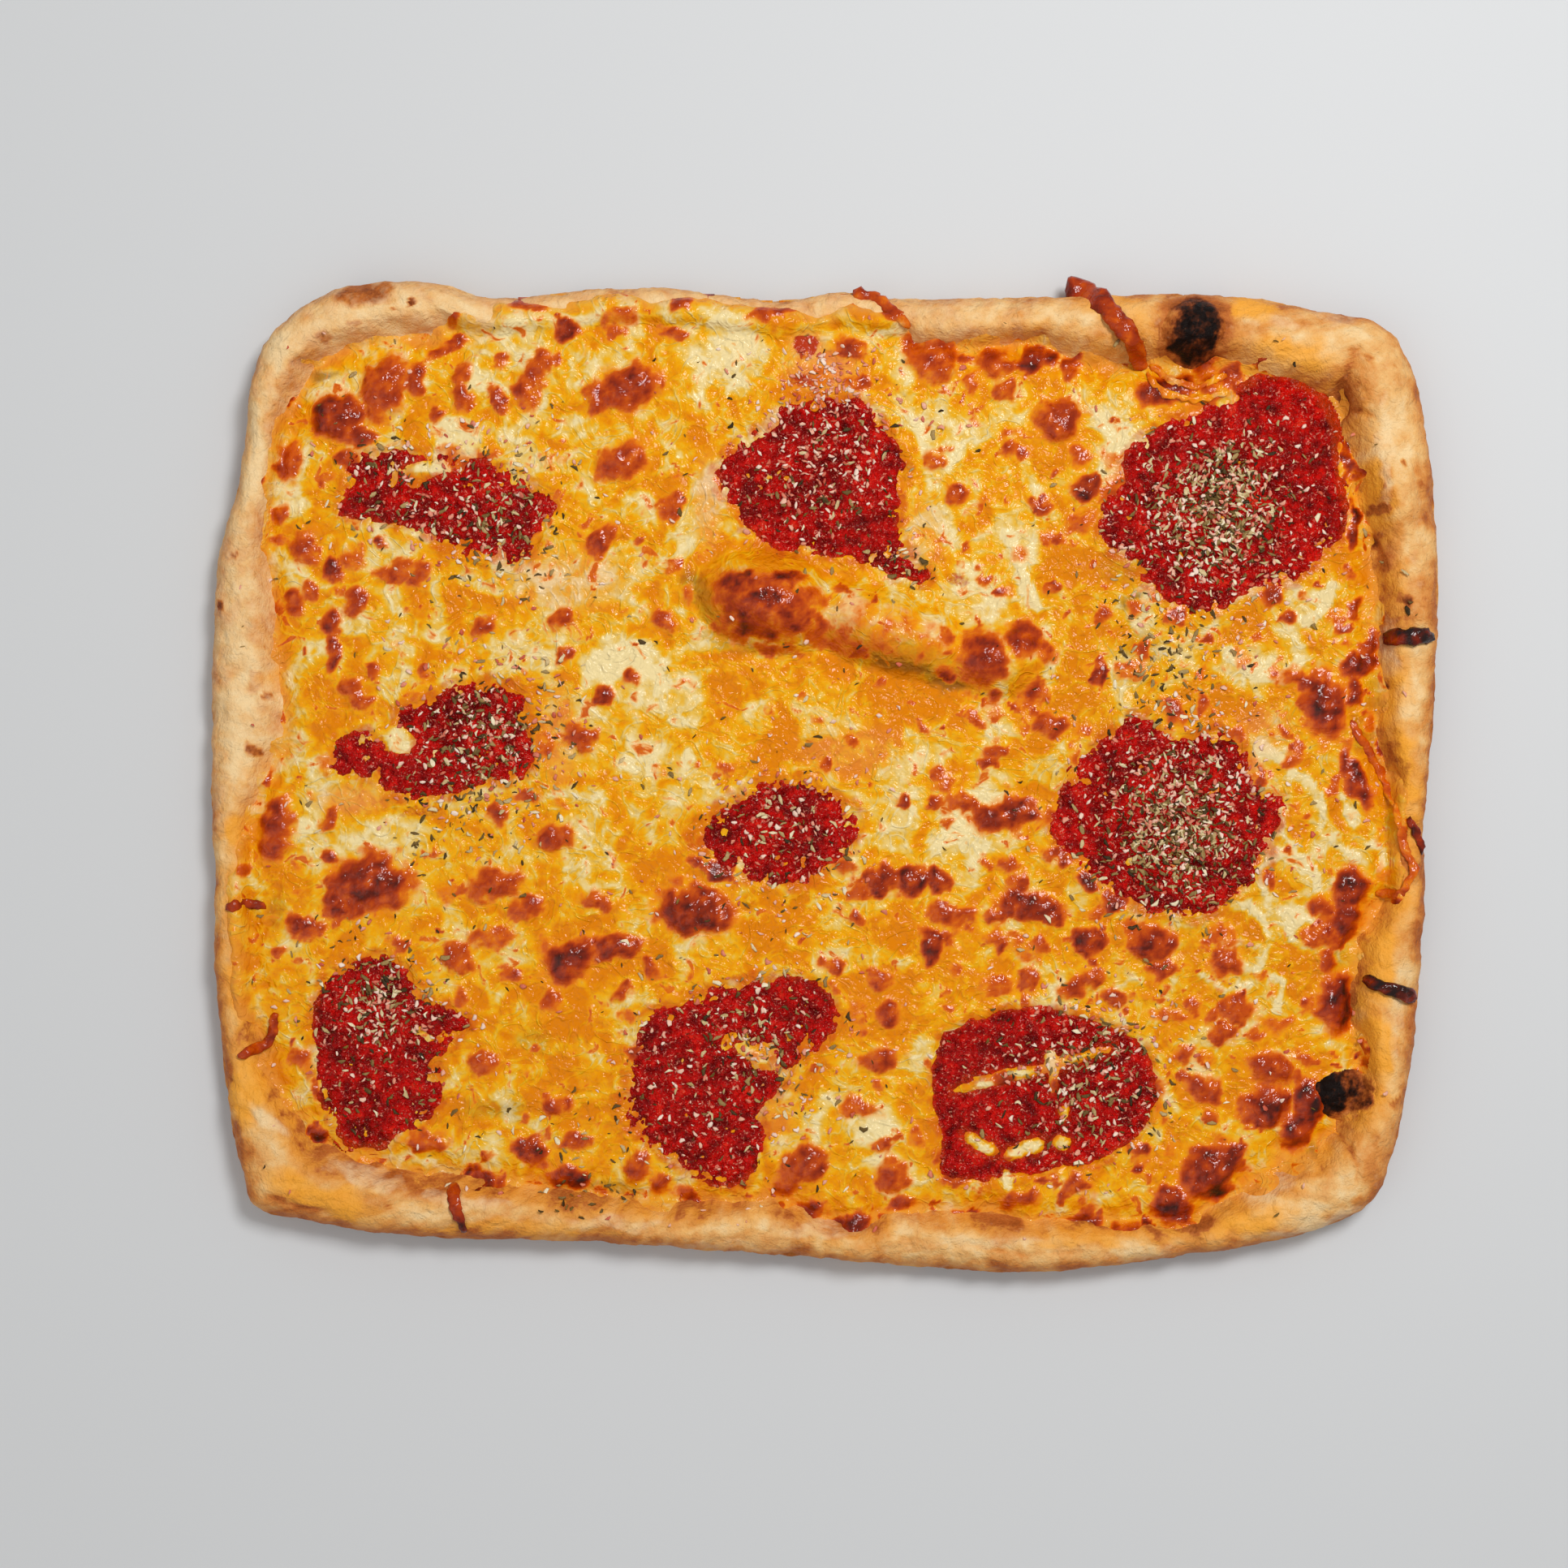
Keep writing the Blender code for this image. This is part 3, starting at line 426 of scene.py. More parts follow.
# Pale curds that lie in strands: pixels along each, half width and rise in millimetres
CURDS = [
    ([
        (1543, 912), (1575, 934), (1603, 959), (1624, 978), (1634, 1009), (1649, 1040), (1668, 1056),
    ], 1.4, 0.6),
    ([(1578, 1000), (1581, 1024), (1593, 1049), (1618, 1071), (1624, 1096)], 1.2, 0.5),
    ([(1556, 1099), (1550, 1074), (1562, 1059), (1581, 1049)], 1.2, 0.5),
    ([
        (1607, 1129), (1590, 1138), (1588, 1156), (1602, 1166), (1621, 1161), (1625, 1144),
        (1607, 1129),
    ], 1.1, 0.5),
    ([(1519, 1118), (1537, 1112), (1553, 1133), (1565, 1158), (1556, 1174)], 1.3, 0.5),
    ([(1506, 1164), (1531, 1158), (1559, 1171), (1547, 1196), (1512, 1186)], 1.4, 0.5),
    ([(1649, 975), (1659, 996), (1668, 1018)], 1.0, 0.4),
    ([(1687, 1040), (1705, 1046), (1699, 1071)], 1.1, 0.4),
    ([(1562, 1196), (1581, 1211), (1572, 1245)], 1.2, 0.4),
    ([(1510, 800), (1540, 830), (1580, 838), (1602, 812)], 1.6, 0.5),
    ([(1240, 662), (1256, 690), (1264, 720), (1278, 748)], 1.5, 0.6),
    ([(1480, 1200), (1510, 1222), (1540, 1212)], 1.2, 0.4),
    ([(1610, 770), (1632, 748), (1640, 720)], 1.4, 0.4),
]

# Dabs of sauce that show through the cheese
DABS = toned({
    0.4: [(520, 1000, 30, 8, 10)],
    0.5: [(1440, 1484, 8, 6), (1180, 715, 16, 8, -20)],
    0.6: [(1000, 470, 30, 10)],
    1.0: [(992, 426, 15, 14)],
})

# Cheese that shows through the sauce
ISLANDS = toned({
    1: [
        (1226, 1331, 20, 2.4, 14), (1256, 1322, 24, 3, 8), (1295, 1307, 6, 10, 10), (1298, 1331, 5, 12),
        (1324, 1304, 18, 2.2, 16), (1200, 1405, 8, 4.5, -30), (1213, 1413, 11, 5, -20),
        (1252, 1420, 9, 4.5, 10), (1269, 1413, 12, 6.5, 20), (1308, 1408, 6, 5.5),
        (1241, 1456, 5, 11, 10), (1311, 1371, 4, 6), (490, 912, 12, 14, 40), (528, 577, 15, 5),
        (930, 1300, 14, 4, -30),
    ],
})

# Browned dots and patches on the bare dough
DOUGH_SPOTS = toned({
    0.1: [(1690, 520, 30, 60)],
    0.25: [(1350, 1515, 40, 14)],
    0.3: [(1100, 1530, 60, 12), (1740, 1240, 12, 40), (900, 1525, 90, 10)],
    0.35: [(275, 1240, 8, 60)],
    0.4: [(440, 1480, 60, 18, -8), (1686, 592, 24, 22)],
    0.45: [(318, 843, 12, 14), (1556, 413, 8, 16)],
    0.5: [
        (348, 836, 8, 16), (1692, 622, 26, 28), (306, 1115, 22, 8, -10), (431, 398, 8, 4),
        (439, 400, 9, 4, -10), (1712, 458, 4, 5), (1678, 447, 4, 4), (1685, 1260, 8, 30),
        (1671, 1484, 12, 14, 30),
    ],
    0.55: [(404, 416, 5, 8), (357, 879, 8, 4)],
    0.6: [
        (289, 681, 5, 5), (326, 797, 5, 5), (336, 863, 6, 5), (355, 907, 9, 5, 20), (1743, 600, 6, 7),
        (1725, 575, 4, 4), (1711, 1353, 8, 6), (1750, 1159, 6, 8), (480, 1486, 6, 5), (1466, 466, 30, 8),
        (1700, 598, 5, 6),
    ],
    0.62: [(451, 364, 42, 19, 10), (1470, 413, 54, 60), (483, 381, 4, 4)],
    0.64: [(1697, 632, 20, 11, -10)],
    0.65: [(318, 924, 11, 8)],
    0.66: [(450, 361, 24, 9)],
    0.7: [(510, 374, 6, 6), (272, 747, 7, 8), (1701, 845, 8, 8)],
    0.72: [(1728, 742, 8, 12)],
    0.74: [(1645, 1345, 48, 36, 15)],
    0.82: [(1470, 412, 41, 49)],
    0.84: [(1664, 1336, 20, 18)],
    0.92: [(1452, 410, 16, 24)],
    0.98: [(1473, 408, 32, 41, 8), (1460, 432, 24, 16), (1632, 1348, 26, 34)],
})

# Dough that is golden with oil, and dough with flour on it; the streaks of the second along the crown at
# the bottom left are painted highlights
BASTED = toned({
    0.5: [(1380, 390, 50, 24, -30), (640, 1510, 120, 10)],
    0.6: [(345, 840, 20, 30), (1340, 1520, 70, 10)],
    0.7: [(300, 1200, 20, 60)],
    0.8: [
        (1690, 1180, 24, 60), (1590, 440, 50, 22, -12), (400, 1470, 70, 18, -20),
        (1540, 1500, 50, 16, 12),
    ],
    0.9: [
        (1690, 850, 30, 60), (1690, 1290, 24, 40), (300, 1030, 18, 30), (310, 1340, 26, 46),
        (1540, 385, 30, 20),
    ],
    1.0: [(1685, 615, 26, 44), (1722, 960, 18, 60)],
})
FLOUR_AND_HIGHLIGHT_STREAKS = toned({
    0.3: [(1742, 700, 12, 90)],
    0.5: [(900, 1535, 90, 8), (1400, 1545, 60, 8)],
    0.6: [
        (1640, 395, 40, 14, -10), (300, 700, 14, 60), (320, 880, 30, 40), (1560, 402, 40, 9, -6),
        (1010, 1515, 60, 8), (1220, 1528, 70, 8), (760, 1505, 60, 8), (1715, 1260, 8, 60),
        (298, 1180, 8, 50),
    ],
    0.7: [(400, 405, 40, 14, 30), (570, 1478, 60, 9, -6), (1706, 800, 10, 40)],
    0.8: [(1560, 1460, 34, 16, 20), (1700, 560, 9, 70)],
    0.9: [(335, 1378, 30, 9, -38), (455, 1447, 50, 11, -20)],
    1.0: [(1620, 1505, 60, 10, 18)],
})

# Creases in the dough: pixels along each, half width and depth in millimetres
CREASES = [
    ([(1662, 436), (1655, 462), (1649, 480), (1653, 497), (1653, 512)], 1.5, 1.3),
    ([(1661, 507), (1672, 511), (1685, 517)], 0.9, 0.9),
    ([(1622, 396), (1626, 406)], 0.9, 0.6),
    ([(1664, 612), (1676, 648), (1697, 680)], 1.4, 1.0),
    ([(487, 423), (516, 412), (545, 407)], 1.0, 0.8),
    ([(368, 452), (386, 448), (400, 458), (418, 460)], 1.4, 1.2),
    ([(1639, 1389), (1656, 1410), (1666, 1430), (1666, 1452)], 0.9, 0.9),
    ([(1612, 1412), (1622, 1426), (1618, 1440)], 1.5, 0.9),
    ([(283, 1330), (300, 1340), (312, 1352)], 0.9, 0.6),
    ([(290, 1360), (306, 1366), (322, 1382)], 0.9, 0.6),
    ([(330, 1470), (364, 1482), (404, 1490)], 1.1, 0.7),
    ([(1180, 1530), (1260, 1542), (1330, 1540)], 1.2, 0.5),
    ([(1640, 394), (1668, 402), (1690, 418)], 1.2, 0.5),
]

# Strings of browned cheese: pixels along each, and its half width in millimetres and its tone,
# each at both ends
STRINGS = [
    (
        [(1314, 360), (1330, 357), (1348, 370), (1371, 396), (1389, 420), (1410, 456)],
        (4.4, 2.4), (0.66, 0.56),
    ),
    ([(1052, 361), (1078, 366), (1098, 384), (1120, 406)], (2.2, 1.6), (0.58, 0.46)),
    ([(1702, 788), (1728, 786), (1762, 785)], (2.8, 2.6), (0.88, 0.9)),
    ([(1678, 1206), (1708, 1216), (1739, 1228)], (2.3, 2.4), (0.84, 0.92)),
    ([(560, 1456), (564, 1484), (573, 1514)], (2.1, 1.5), (0.5, 0.82)),
    ([(296, 1299), (318, 1292), (331, 1285), (336, 1268), (339, 1246)], (1.5, 1.5), (0.62, 0.6)),
    ([(1716, 990), (1724, 1040), (1738, 1068), (1726, 1100), (1697, 1102)], (1.3, 1.3), (0.4, 0.5)),
    ([(1729, 1008), (1744, 1030), (1750, 1052)], (1.5, 1.2), (0.7, 0.84)),
    ([(1663, 888), (1682, 918), (1705, 958), (1716, 994)], (1.4, 1.2), (0.56, 0.42)),
    ([(281, 1118), (304, 1112), (328, 1118)], (1.5, 1.6), (0.6, 0.66)),
    ([(1418, 448), (1440, 470), (1476, 478), (1512, 462)], (1.2, 1.0), (0.4, 0.36)),
    ([(1412, 460), (1432, 486), (1470, 494), (1512, 484)], (1.1, 1.0), (0.36, 0.3)),
]

# Colours as they are seen on a screen, 0 to 255, along a tone from 0 to 1
MELT_STOPS = [
    (0.0, (224, 128, 0)), (0.2, (232, 145, 0)), (0.38, (238, 162, 2)), (0.52, (236, 174, 24)),
    (0.65, (232, 186, 76)), (0.8, (233, 199, 118)), (1.0, (240, 217, 158)),
]
BROWN_STOPS = [
    (0.2, (244, 158, 16)), (0.34, (230, 124, 6)), (0.46, (206, 86, 2)), (0.58, (176, 58, 2)),
    (0.7, (142, 38, 4)), (0.82, (98, 24, 6)), (0.92, (60, 18, 10)), (1.0, (36, 18, 16)),
]
DOUGH_STOPS = [
    (0.0, (242, 206, 150)), (0.2, (234, 180, 110)), (0.42, (218, 142, 66)), (0.6, (186, 102, 40)),
    (0.74, (130, 62, 26)), (0.86, (66, 32, 18)), (1.0, (24, 16, 14)),
]
SAUCE_STOPS = [
    (0.0, (82, 0, 0)), (0.3, (124, 0, 0)), (0.55, (170, 2, 0)), (0.8, (206, 8, 2)),
    (1.0, (224, 46, 22)),
]
TAN_HERB_STOPS = [
    (0.0, (48, 34, 12)), (0.3, (112, 86, 40)), (0.6, (168, 138, 84)), (0.85, (218, 194, 144)),
    (1.0, (244, 230, 196)),
]
DARK_HERB_STOPS = [(0.0, (48, 30, 8)), (0.5, (86, 62, 16)), (1.0, (134, 104, 40))]
GRATED_STOPS = [
    (0.0, (200, 84, 60)), (0.3, (226, 138, 112)), (0.6, (238, 186, 160)), (1.0, (248, 226, 208)),
]

# Tints over them
FILM = (230, 156, 70)
BLUSH = (232, 140, 96)
STAIN = (206, 84, 14)
DAB = (176, 20, 8)
# Painted shade: the brownish colour of the cheese's shaded patches
PAINTED_SHADE_TINT = (128, 82, 26)
# Pale cream of the flour, also used for painted highlight streaks
FLOUR_AND_HIGHLIGHT_TINT = (250, 222, 174)
BASTING = (246, 166, 44)
THIN_SAUCE = (196, 56, 10)
HERB_SPECK = (98, 52, 26)
# Pale pinkish specks in the sauce: partly grated cheese, partly painted glints
CHEESE_SPECK_AND_GLINT = (236, 150, 124)
PALE_FLOOR = (208, 210, 212)

# Where flakes fell: pixel, spread in pixels, share of flakes there
Fall = namedtuple("Fall", "column row spread share")

HERB_FALLS = [
    Fall(1500, 625, 40, 26), Fall(1450, 1030, 42, 24), Fall(1490, 650, 70, 6),
    Fall(1450, 1000, 75, 6), Fall(470, 1230, 38, 7), Fall(600, 910, 46, 10),
    Fall(930, 1300, 72, 8), Fall(1340, 1330, 54, 10), Fall(1020, 600, 56, 4),
    Fall(620, 640, 46, 7), Fall(470, 590, 36, 3), Fall(960, 1030, 60, 4), Fall(1430, 800, 34, 3),
    Fall(1440, 870, 40, 3), Fall(740, 1440, 50, 2), Fall(560, 1000, 60, 3), Fall(480, 1340, 40, 2),
    Fall(1120, 700, 22, 1),
]
CHEESE_FALLS = [
    Fall(1500, 640, 62, 18), Fall(1450, 1000, 60, 16), Fall(1010, 560, 52, 10),
    Fall(1015, 470, 26, 4), Fall(480, 1240, 44, 5), Fall(600, 900, 56, 8), Fall(910, 1320, 76, 7),
    Fall(1330, 1320, 60, 9), Fall(560, 620, 62, 7), Fall(960, 1030, 56, 5),
]
EVERYWHERE = (300, 1740, 400, 1520)

# Kinds of flake. Lengths and depths are in millimetres, and breadths are shares of the length.
Flake = namedtuple(
    "Flake", "piece falls count strewn length breadth depth bend material stops roughness slot seed"
)
FLAKES = [
    Flake(
        "herb_flakes", HERB_FALLS, count=2500, strewn=0.03, length=(1.5, 3.8),
        breadth=(0.22, 0.48), depth=0.45, bend=0.9, material="dried_herb", stops=TAN_HERB_STOPS,
        roughness=0.5, slot="tomato_sauce", seed=201,
    ),
    Flake(
        "dark_herb_flakes", HERB_FALLS, count=1300, strewn=0.14, length=(0.6, 2.4),
        breadth=(0.2, 0.45), depth=0.35, bend=0.6, material="dark_herb", stops=DARK_HERB_STOPS,
        roughness=0.55, slot="tomato_sauce", seed=202,
    ),
    Flake(
        "grated_cheese_flakes", CHEESE_FALLS, count=2900, strewn=0.08, length=(0.9, 2.7),
        breadth=(0.28, 0.68), depth=0.6, bend=0.6, material="grated_cheese", stops=GRATED_STOPS,
        roughness=0.36, slot="melted_cheese", seed=203,
    ),
]


def place(pixel):
    """The point of the pizza that lies under this pixel of the overhead view."""
    return ((pixel[0] - MIDDLE[0]) * PIXEL, (MIDDLE[1] - pixel[1]) * PIXEL)


def evenly(line, step, fewest=1, endpoint=True):
    """Points about one step apart along a line."""
    run = np.concatenate([[0], np.cumsum(np.hypot(*np.diff(line, axis=0).T))])
    even = np.linspace(0, run[-1], max(fewest, round(run[-1] / step)), endpoint=endpoint)
    return np.column_stack([np.interp(even, run, line[:, k]) for k in (0, 1)])


def smooth_loop(pixels, step):
    """A closed curve through the places of these pixels, as points about one step apart."""
    here = np.array([place(pixel) for pixel in pixels])
    before, after, beyond = (np.roll(here, k, axis=0) for k in (1, -1, -2))
    t = np.linspace(0, 1, 20, endpoint=False)[:, None, None]
    curve = 0.5 * (
        2 * here
        + (after - before) * t
        + (2 * before - 5 * here + 4 * after - beyond) * t**2
        + (3 * here - before - 3 * after + beyond) * t**3
    )
    curve = curve.transpose(1, 0, 2).reshape(-1, 2)
    return evenly(np.vstack([curve, curve[:1]]), step, endpoint=False)


def inset_of(points, loop):
    """How far inside the loop each point lies, negative outside it."""
    x, y = points.T
    nearest = np.full(len(points), 1e9)
    inside = np.zeros(len(points), bool)
    for start, end in zip(loop, np.roll(loop, -1, axis=0)):
        side = end - start
        away_x, away_y = x - start[0], y - start[1]
        share = np.clip((away_x * side[0] + away_y * side[1]) / (side @ side), 0, 1)
        gap = (away_x - share * side[0]) ** 2 + (away_y - share * side[1]) ** 2
        np.minimum(nearest, gap, out=nearest)
        if start[1] != end[1]:
            crossing = start[0] + away_y / side[1] * side[0]
            inside ^= ((start[1] > y) != (end[1] > y)) & (x < crossing)
    nearest = np.sqrt(nearest)
    return np.where(inside, nearest, -nearest)


def around(points, stations, unit=MM):
    """The value of a list of stations in the direction of each point."""
    angles = np.degrees(np.arctan2(points[:, 1], points[:, 0])) % 360
    known, values = zip(*stations)
    return np.interp(angles, known, values, period=360) * unit


def waves(points, size, seed, lap=None):
    """Smooth random relief from about -1 to 1, with swellings of this size.

    With a lap, the relief meets itself again after that length along the first axis.
    """
    columns = max(FEWEST_COLUMNS, round(lap / size)) if lap else LATTICE
    turns = np.random.default_rng(seed).uniform(0, math.tau, (columns, LATTICE))
    scaled = points / (lap / columns, size) if lap else points / size + LATTICE_SHIFT
    cell = np.floor(scaled).astype(int)
    part = scaled - cell
    ease = part**3 * (part * (part * 6 - 15) + 10)

    def pull(right, up):
        turn = turns[(cell[:, 0] + right) % columns, (cell[:, 1] + up) % LATTICE]
        return np.cos(turn) * (part[:, 0] - right) + np.sin(turn) * (part[:, 1] - up)

    low = pull(0, 0) * (1 - ease[:, 0]) + pull(1, 0) * ease[:, 0]
    high = pull(0, 1) * (1 - ease[:, 0]) + pull(1, 1) * ease[:, 0]
    return 1.5 * (low * (1 - ease[:, 1]) + high * ease[:, 1])


def rough(points, size, seed, octaves, fade=0.55, lap=None):
    """Waves with finer waves on them."""
    total = np.zeros(len(points))
    for octave in range(octaves):
        total += fade**octave * waves(points, size / 2**octave, seed + octave, lap)
    return total


def warped(points, size, reach, seed):
    """The points, each moved a little, so that round shapes get ragged outlines."""
    shift = [rough(points, size, seed + k, 2) for k in (0, 50)]
    return points + reach * np.column_stack(shift)


def eased(share):
    """A smooth step from 0 to 1."""
    share = np.clip(share, 0, 1)
    return share * share * (3 - 2 * share)


def turned(way, degrees):
    """How long each step is along and across a direction turned by this angle."""
    turn = math.radians(degrees)
    return way @ (math.cos(turn), math.sin(turn)), way @ (-math.sin(turn), math.cos(turn))


def domes_over(points, domes, grow):
    """The height of the highest dome over each point, with soft feet."""
    height = np.zeros(len(points))
    for dome in domes:
        along, across = turned(points - place((dome.column, dome.row)), dome.turn)
        share = 1 - np.hypot(along / (dome.long * MM + grow), across / (dome.wide * MM + grow))
        swell = eased(share * DOME_STEEPNESS) ** DOME_FULLNESS
        height = np.maximum(height, (dome.rise * MM + grow) * swell)
    return height


def spot_share(points, spot, reach):
    """Which points are near the spot, and how far out each is: 0 in its middle, 1 on its edge."""
    centre = place((spot.column, spot.row))
    limit = reach * max(spot.wide, spot.high) * PIXEL
    near = np.flatnonzero((np.abs(points - centre) < limit).all(axis=1))
    along, across = turned(points[near] - centre, spot.turn)
    return near, np.hypot(along / (spot.wide * PIXEL), across / (spot.high * PIXEL))


def patches(points, spots, soft):
    """The strength of the strongest patch over each point, fading out at its edge."""
    strength = np.zeros(len(points))
    for spot in spots:
        near, out = spot_share(points, spot, 1.2 + soft)
        strength[near] = np.maximum(strength[near], spot.tone * eased((1 + soft / 2 - out) / soft))
    return strength


def rim_width(points):
    """How wide the rim is here: it reaches a little under the cheese."""
    return np.maximum(around(points, CHEESE_INSETS) + RIM_FOOT, NARROWEST_RIM)


def rim_crown(points):
    """The height of the rim's crown, which rises and falls in waves and lumps."""
    long_waves = RIM_WAVE * waves(points, 34 * MM, 3)
    lumps = RIM_LUMP * waves(points, 16 * MM, 4)
    return around(points, RIM_HEIGHTS) + long_waves + lumps


def rim_rise(down):
    """The rim's height over the floor, 1 on its crown to 0 at its foot: round first, then steep."""
    return 0.5 + 0.5 * np.cos(math.pi * down**RIM_ROUNDNESS)


def dough_top(points, inset):
    """The height of the dough's upper surface without its bubbles."""
    width = rim_width(points)
    crown = rim_crown(points)
    crown_inset = RIM_CROWN * width
    down = np.clip((inset - crown_inset) / (width - crown_inset), 0, 1)
    slope = FLOOR_TOP + (crown - FLOOR_TOP) * rim_rise(down)
    out = 1 - np.clip(inset / crown_inset, 0, 1)
    side = crown * (RIM_BULGE + (1 - RIM_BULGE) * np.sqrt(1 - out * out))
    return np.where(inset > crown_inset, slope, side)


def pool_depth(points, loop):
    """How far inside a spoonful's ragged edge each point lies; cheese islands are outside."""
    ragged = rough(points, 8 * MM, 71, 3, 0.45) + 0.55 * rough(points, 2.6 * MM, 76, 2)
    inside = inset_of(points, loop) + SAUCE_RAGGED * ragged
    for island in ISLANDS:
        near, out = spot_share(warped(points, 3 * MM, 0.6 * MM, 75), island, 3)
        inside[near] = np.minimum(inside[near], (out - 1) * island.high * PIXEL)
    return inside


def traced(points, lines):
    """How deep or high the drawn lines are at each point, in metres."""
    depth = np.zeros(len(points))
    for pixels, wide, deep in lines:
        line = np.array([place(pixel) for pixel in pixels])
        margin = 3 * wide * MM
        low, high = line.min(axis=0) - margin, line.max(axis=0) + margin
        near = np.flatnonzero(((points > low) & (points < high)).all(axis=1))
        away = np.full(len(near), 1.0)
        for start, end in zip(line, line[1:]):
            side = end - start
            share = np.clip((points[near] - start) @ side / (side @ side), 0, 1)
            away = np.minimum(away, np.hypot(*(points[near] - start - share[:, None] * side).T))
        fall = np.exp(-(away / (wide * MM)) ** 2)
        depth[near] = np.maximum(depth[near], deep * MM * fall)
    return depth


def small_spots():
    """Browned specks and golden dabs strewn over the cheese, thicker on its right side."""
    dice = random.Random(12)
    found = []
    while len(found) < SPECKS:
        size = SMALLEST_SPECK + SPECK_GROWTH * dice.random() ** 2
        left, right, top, bottom = CHEESE_VIEW
        if len(found) >= SPECKS_ALL_OVER:
            left = RIGHT_SIDE
        found.append(Spot(
            dice.uniform(left, right), dice.uniform(top, bottom), size * dice.uniform(0.8, 1.6),
            size, dice.uniform(0, 180), dice.choice(SPECK_TONES),
        ))
    return found


def blistered(points):
    """The rise of the blisters over each point, and how browned they leave it."""
    rise = np.zeros(len(points))
    tone = np.zeros(len(points))
    ragged = warped(warped(points, 7 * MM, 2 * MM, 31), 2.2 * MM, 0.55 * MM, 33)
    patchy = 0.3 * rough(points, 4.5 * MM, 55, 3, 0.6)
    for spot in BLISTERS + SMALL_SPOTS:
        near, out = spot_share(ragged, spot, BLISTER_REACH)
        size = min(spot.wide, spot.high) * PIXEL
        height = min(BLISTER_STEEPNESS * size, TALLEST_BLISTER) * eased((spot.tone - 0.3) / 0.3)
        rise[near] = np.maximum(rise[near], height * np.clip(1 - out**2, 0, 1) ** 0.7)
        depth = eased((BLISTER_FADE - out) / 1.05)
        tone[near] = np.maximum(tone[near], spot.tone * depth * (1 + patchy[near]))
    return rise, np.minimum(tone, 1)


def cheese_reach(points, inset):
    """How far inside its own ragged edge the cheese is at each point."""
    ragged = CHEESE_RAGGED * rough(points, 15 * MM, 21, 3, 0.45)
    drifted = warped(points, 14 * MM, 5 * MM, 45)
    reach = inset - around(drifted, CHEESE_INSETS) + np.clip(ragged, -CHEESE_RAGGED, CHEESE_RAGGED)
    return np.minimum(reach, inset - CHEESE_MARGIN)


def by_the_sauce(points, reach):
    """The cheese's lips and hollows at the spoonfuls, how calm it is there, and how far inside
    the nearest spoonful each point lies.
    """
    lips = np.zeros(len(points))
    calm = np.ones(len(points))
    near_sauce = np.full(len(points), -1.0)
    low, high = points.min(axis=0), points.max(axis=0)
    for loop in SAUCE_LOOPS.values():
        if (loop.max(axis=0) < low).any() or (loop.min(axis=0) > high).any():
            continue
        inside = pool_depth(points, loop)
        lips = np.maximum(lips, LIP * eased(1 + inside / LIP_RUN) * (inside < 0))
        hollow = LIP - HOLLOW * eased(inside / HOLLOW_RUN)
        lips = np.where(inside >= 0, hollow, lips) * eased(reach / HOLLOW_RUN)
        calm = np.minimum(calm, eased(-inside / HOLLOW_RUN))
        near_sauce = np.maximum(near_sauce, inside)
    return lips, calm, near_sauce


def cheese_border(points, reach):
    """How far the cheese is thinned and tanned along its edge, less so at the top."""
    border = eased(1 - reach / (7 * MM)) * np.clip(0.45 + rough(points, 9 * MM, 51, 3), 0, 1)
    border *= 1 - 0.85 * eased((points[:, 1] - TOP_STRIP) / (8 * MM))
    return border * np.minimum(0.3 + around(points, OILED, 1), 1)


def cheese_surface(points):
    """The cheese's height and its tones at each point."""
    inset = inset_of(points, EDGE)
    reach = cheese_reach(points, inset)
    run = eased(reach / CHEESE_EDGE_RUN)
    sunk = -EDGE_SINK * eased(0.45 - reach / EDGE_SINK_RUN)
    depth = CHEESE_EDGE_DEPTH + (CHEESE_DEPTH - CHEESE_EDGE_DEPTH) * run + sunk
    lips, calm, near_sauce = by_the_sauce(points, reach)

    swell = domes_over(points, MIDDLE_BUBBLES, 3 * MM)
    rise, browned = blistered(points)
    rise *= 1 - 0.8 * eased(swell / (9 * MM))
    toasted = 0.3 * eased((swell - 3 * MM) / (5 * MM))
    toasted *= 1 + 0.5 * rough(points, 7 * MM, 41, 3, 0.6)
    browned = np.maximum(browned, toasted)
    curds = waves(points, 17 * MM, 5) + 0.5 * waves(points, 8 * MM, 6)
    fine = CHEESE_FINE * rough(points, 5 * MM, 24, 3, 0.5)
    fine *= (0.4 + 0.6 * calm) * eased(reach / HOLLOW_RUN)
    crinkle = CRINKLE * rise * rough(points, 2.6 * MM, 27, 2)
    curdled = traced(warped(points, 5 * MM, 0.8 * MM, 67), CURDS)
    height = (
        dough_top(points, inset) + depth + CHEESE_WAVE * curds * run * calm
        + fine + lips + swell + (rise + crinkle) * calm + curdled
    )

    islands = np.minimum(2.2 * patches(points, ISLANDS, 1.0), 1)
    stained = eased(1 + near_sauce / STAIN_RUN) * (1 - 0.9 * islands)
    return {
        "height": height,
        "browned": browned,
        "border": cheese_border(points, reach),
        "pale": np.maximum(patches(points, PALE, 1.1), 1.4 * islands) + 1.5 * eased(curdled / CURD),
        "oily": patches(points, OILY, 1.0),
        "pink": patches(points, PINKISH, 1.0) * (browned < 0.7),
        "stained": stained * np.clip(0.75 + 0.5 * rough(points, 6 * MM, 58, 2), 0, 1),
        "film": eased(1 - reach / (5 * MM)) * (browned < 0.5),
        "sauced": patches(warped(points, 4 * MM, 1 * MM, 59), DABS, 0.5),
        # Painted shade: how strongly the cheese is darkened where shade falls on it
        "dull": patches(warped(points, 7 * MM, 2 * MM, 63), PAINTED_SHADE_PATCHES, 1.0),
    }


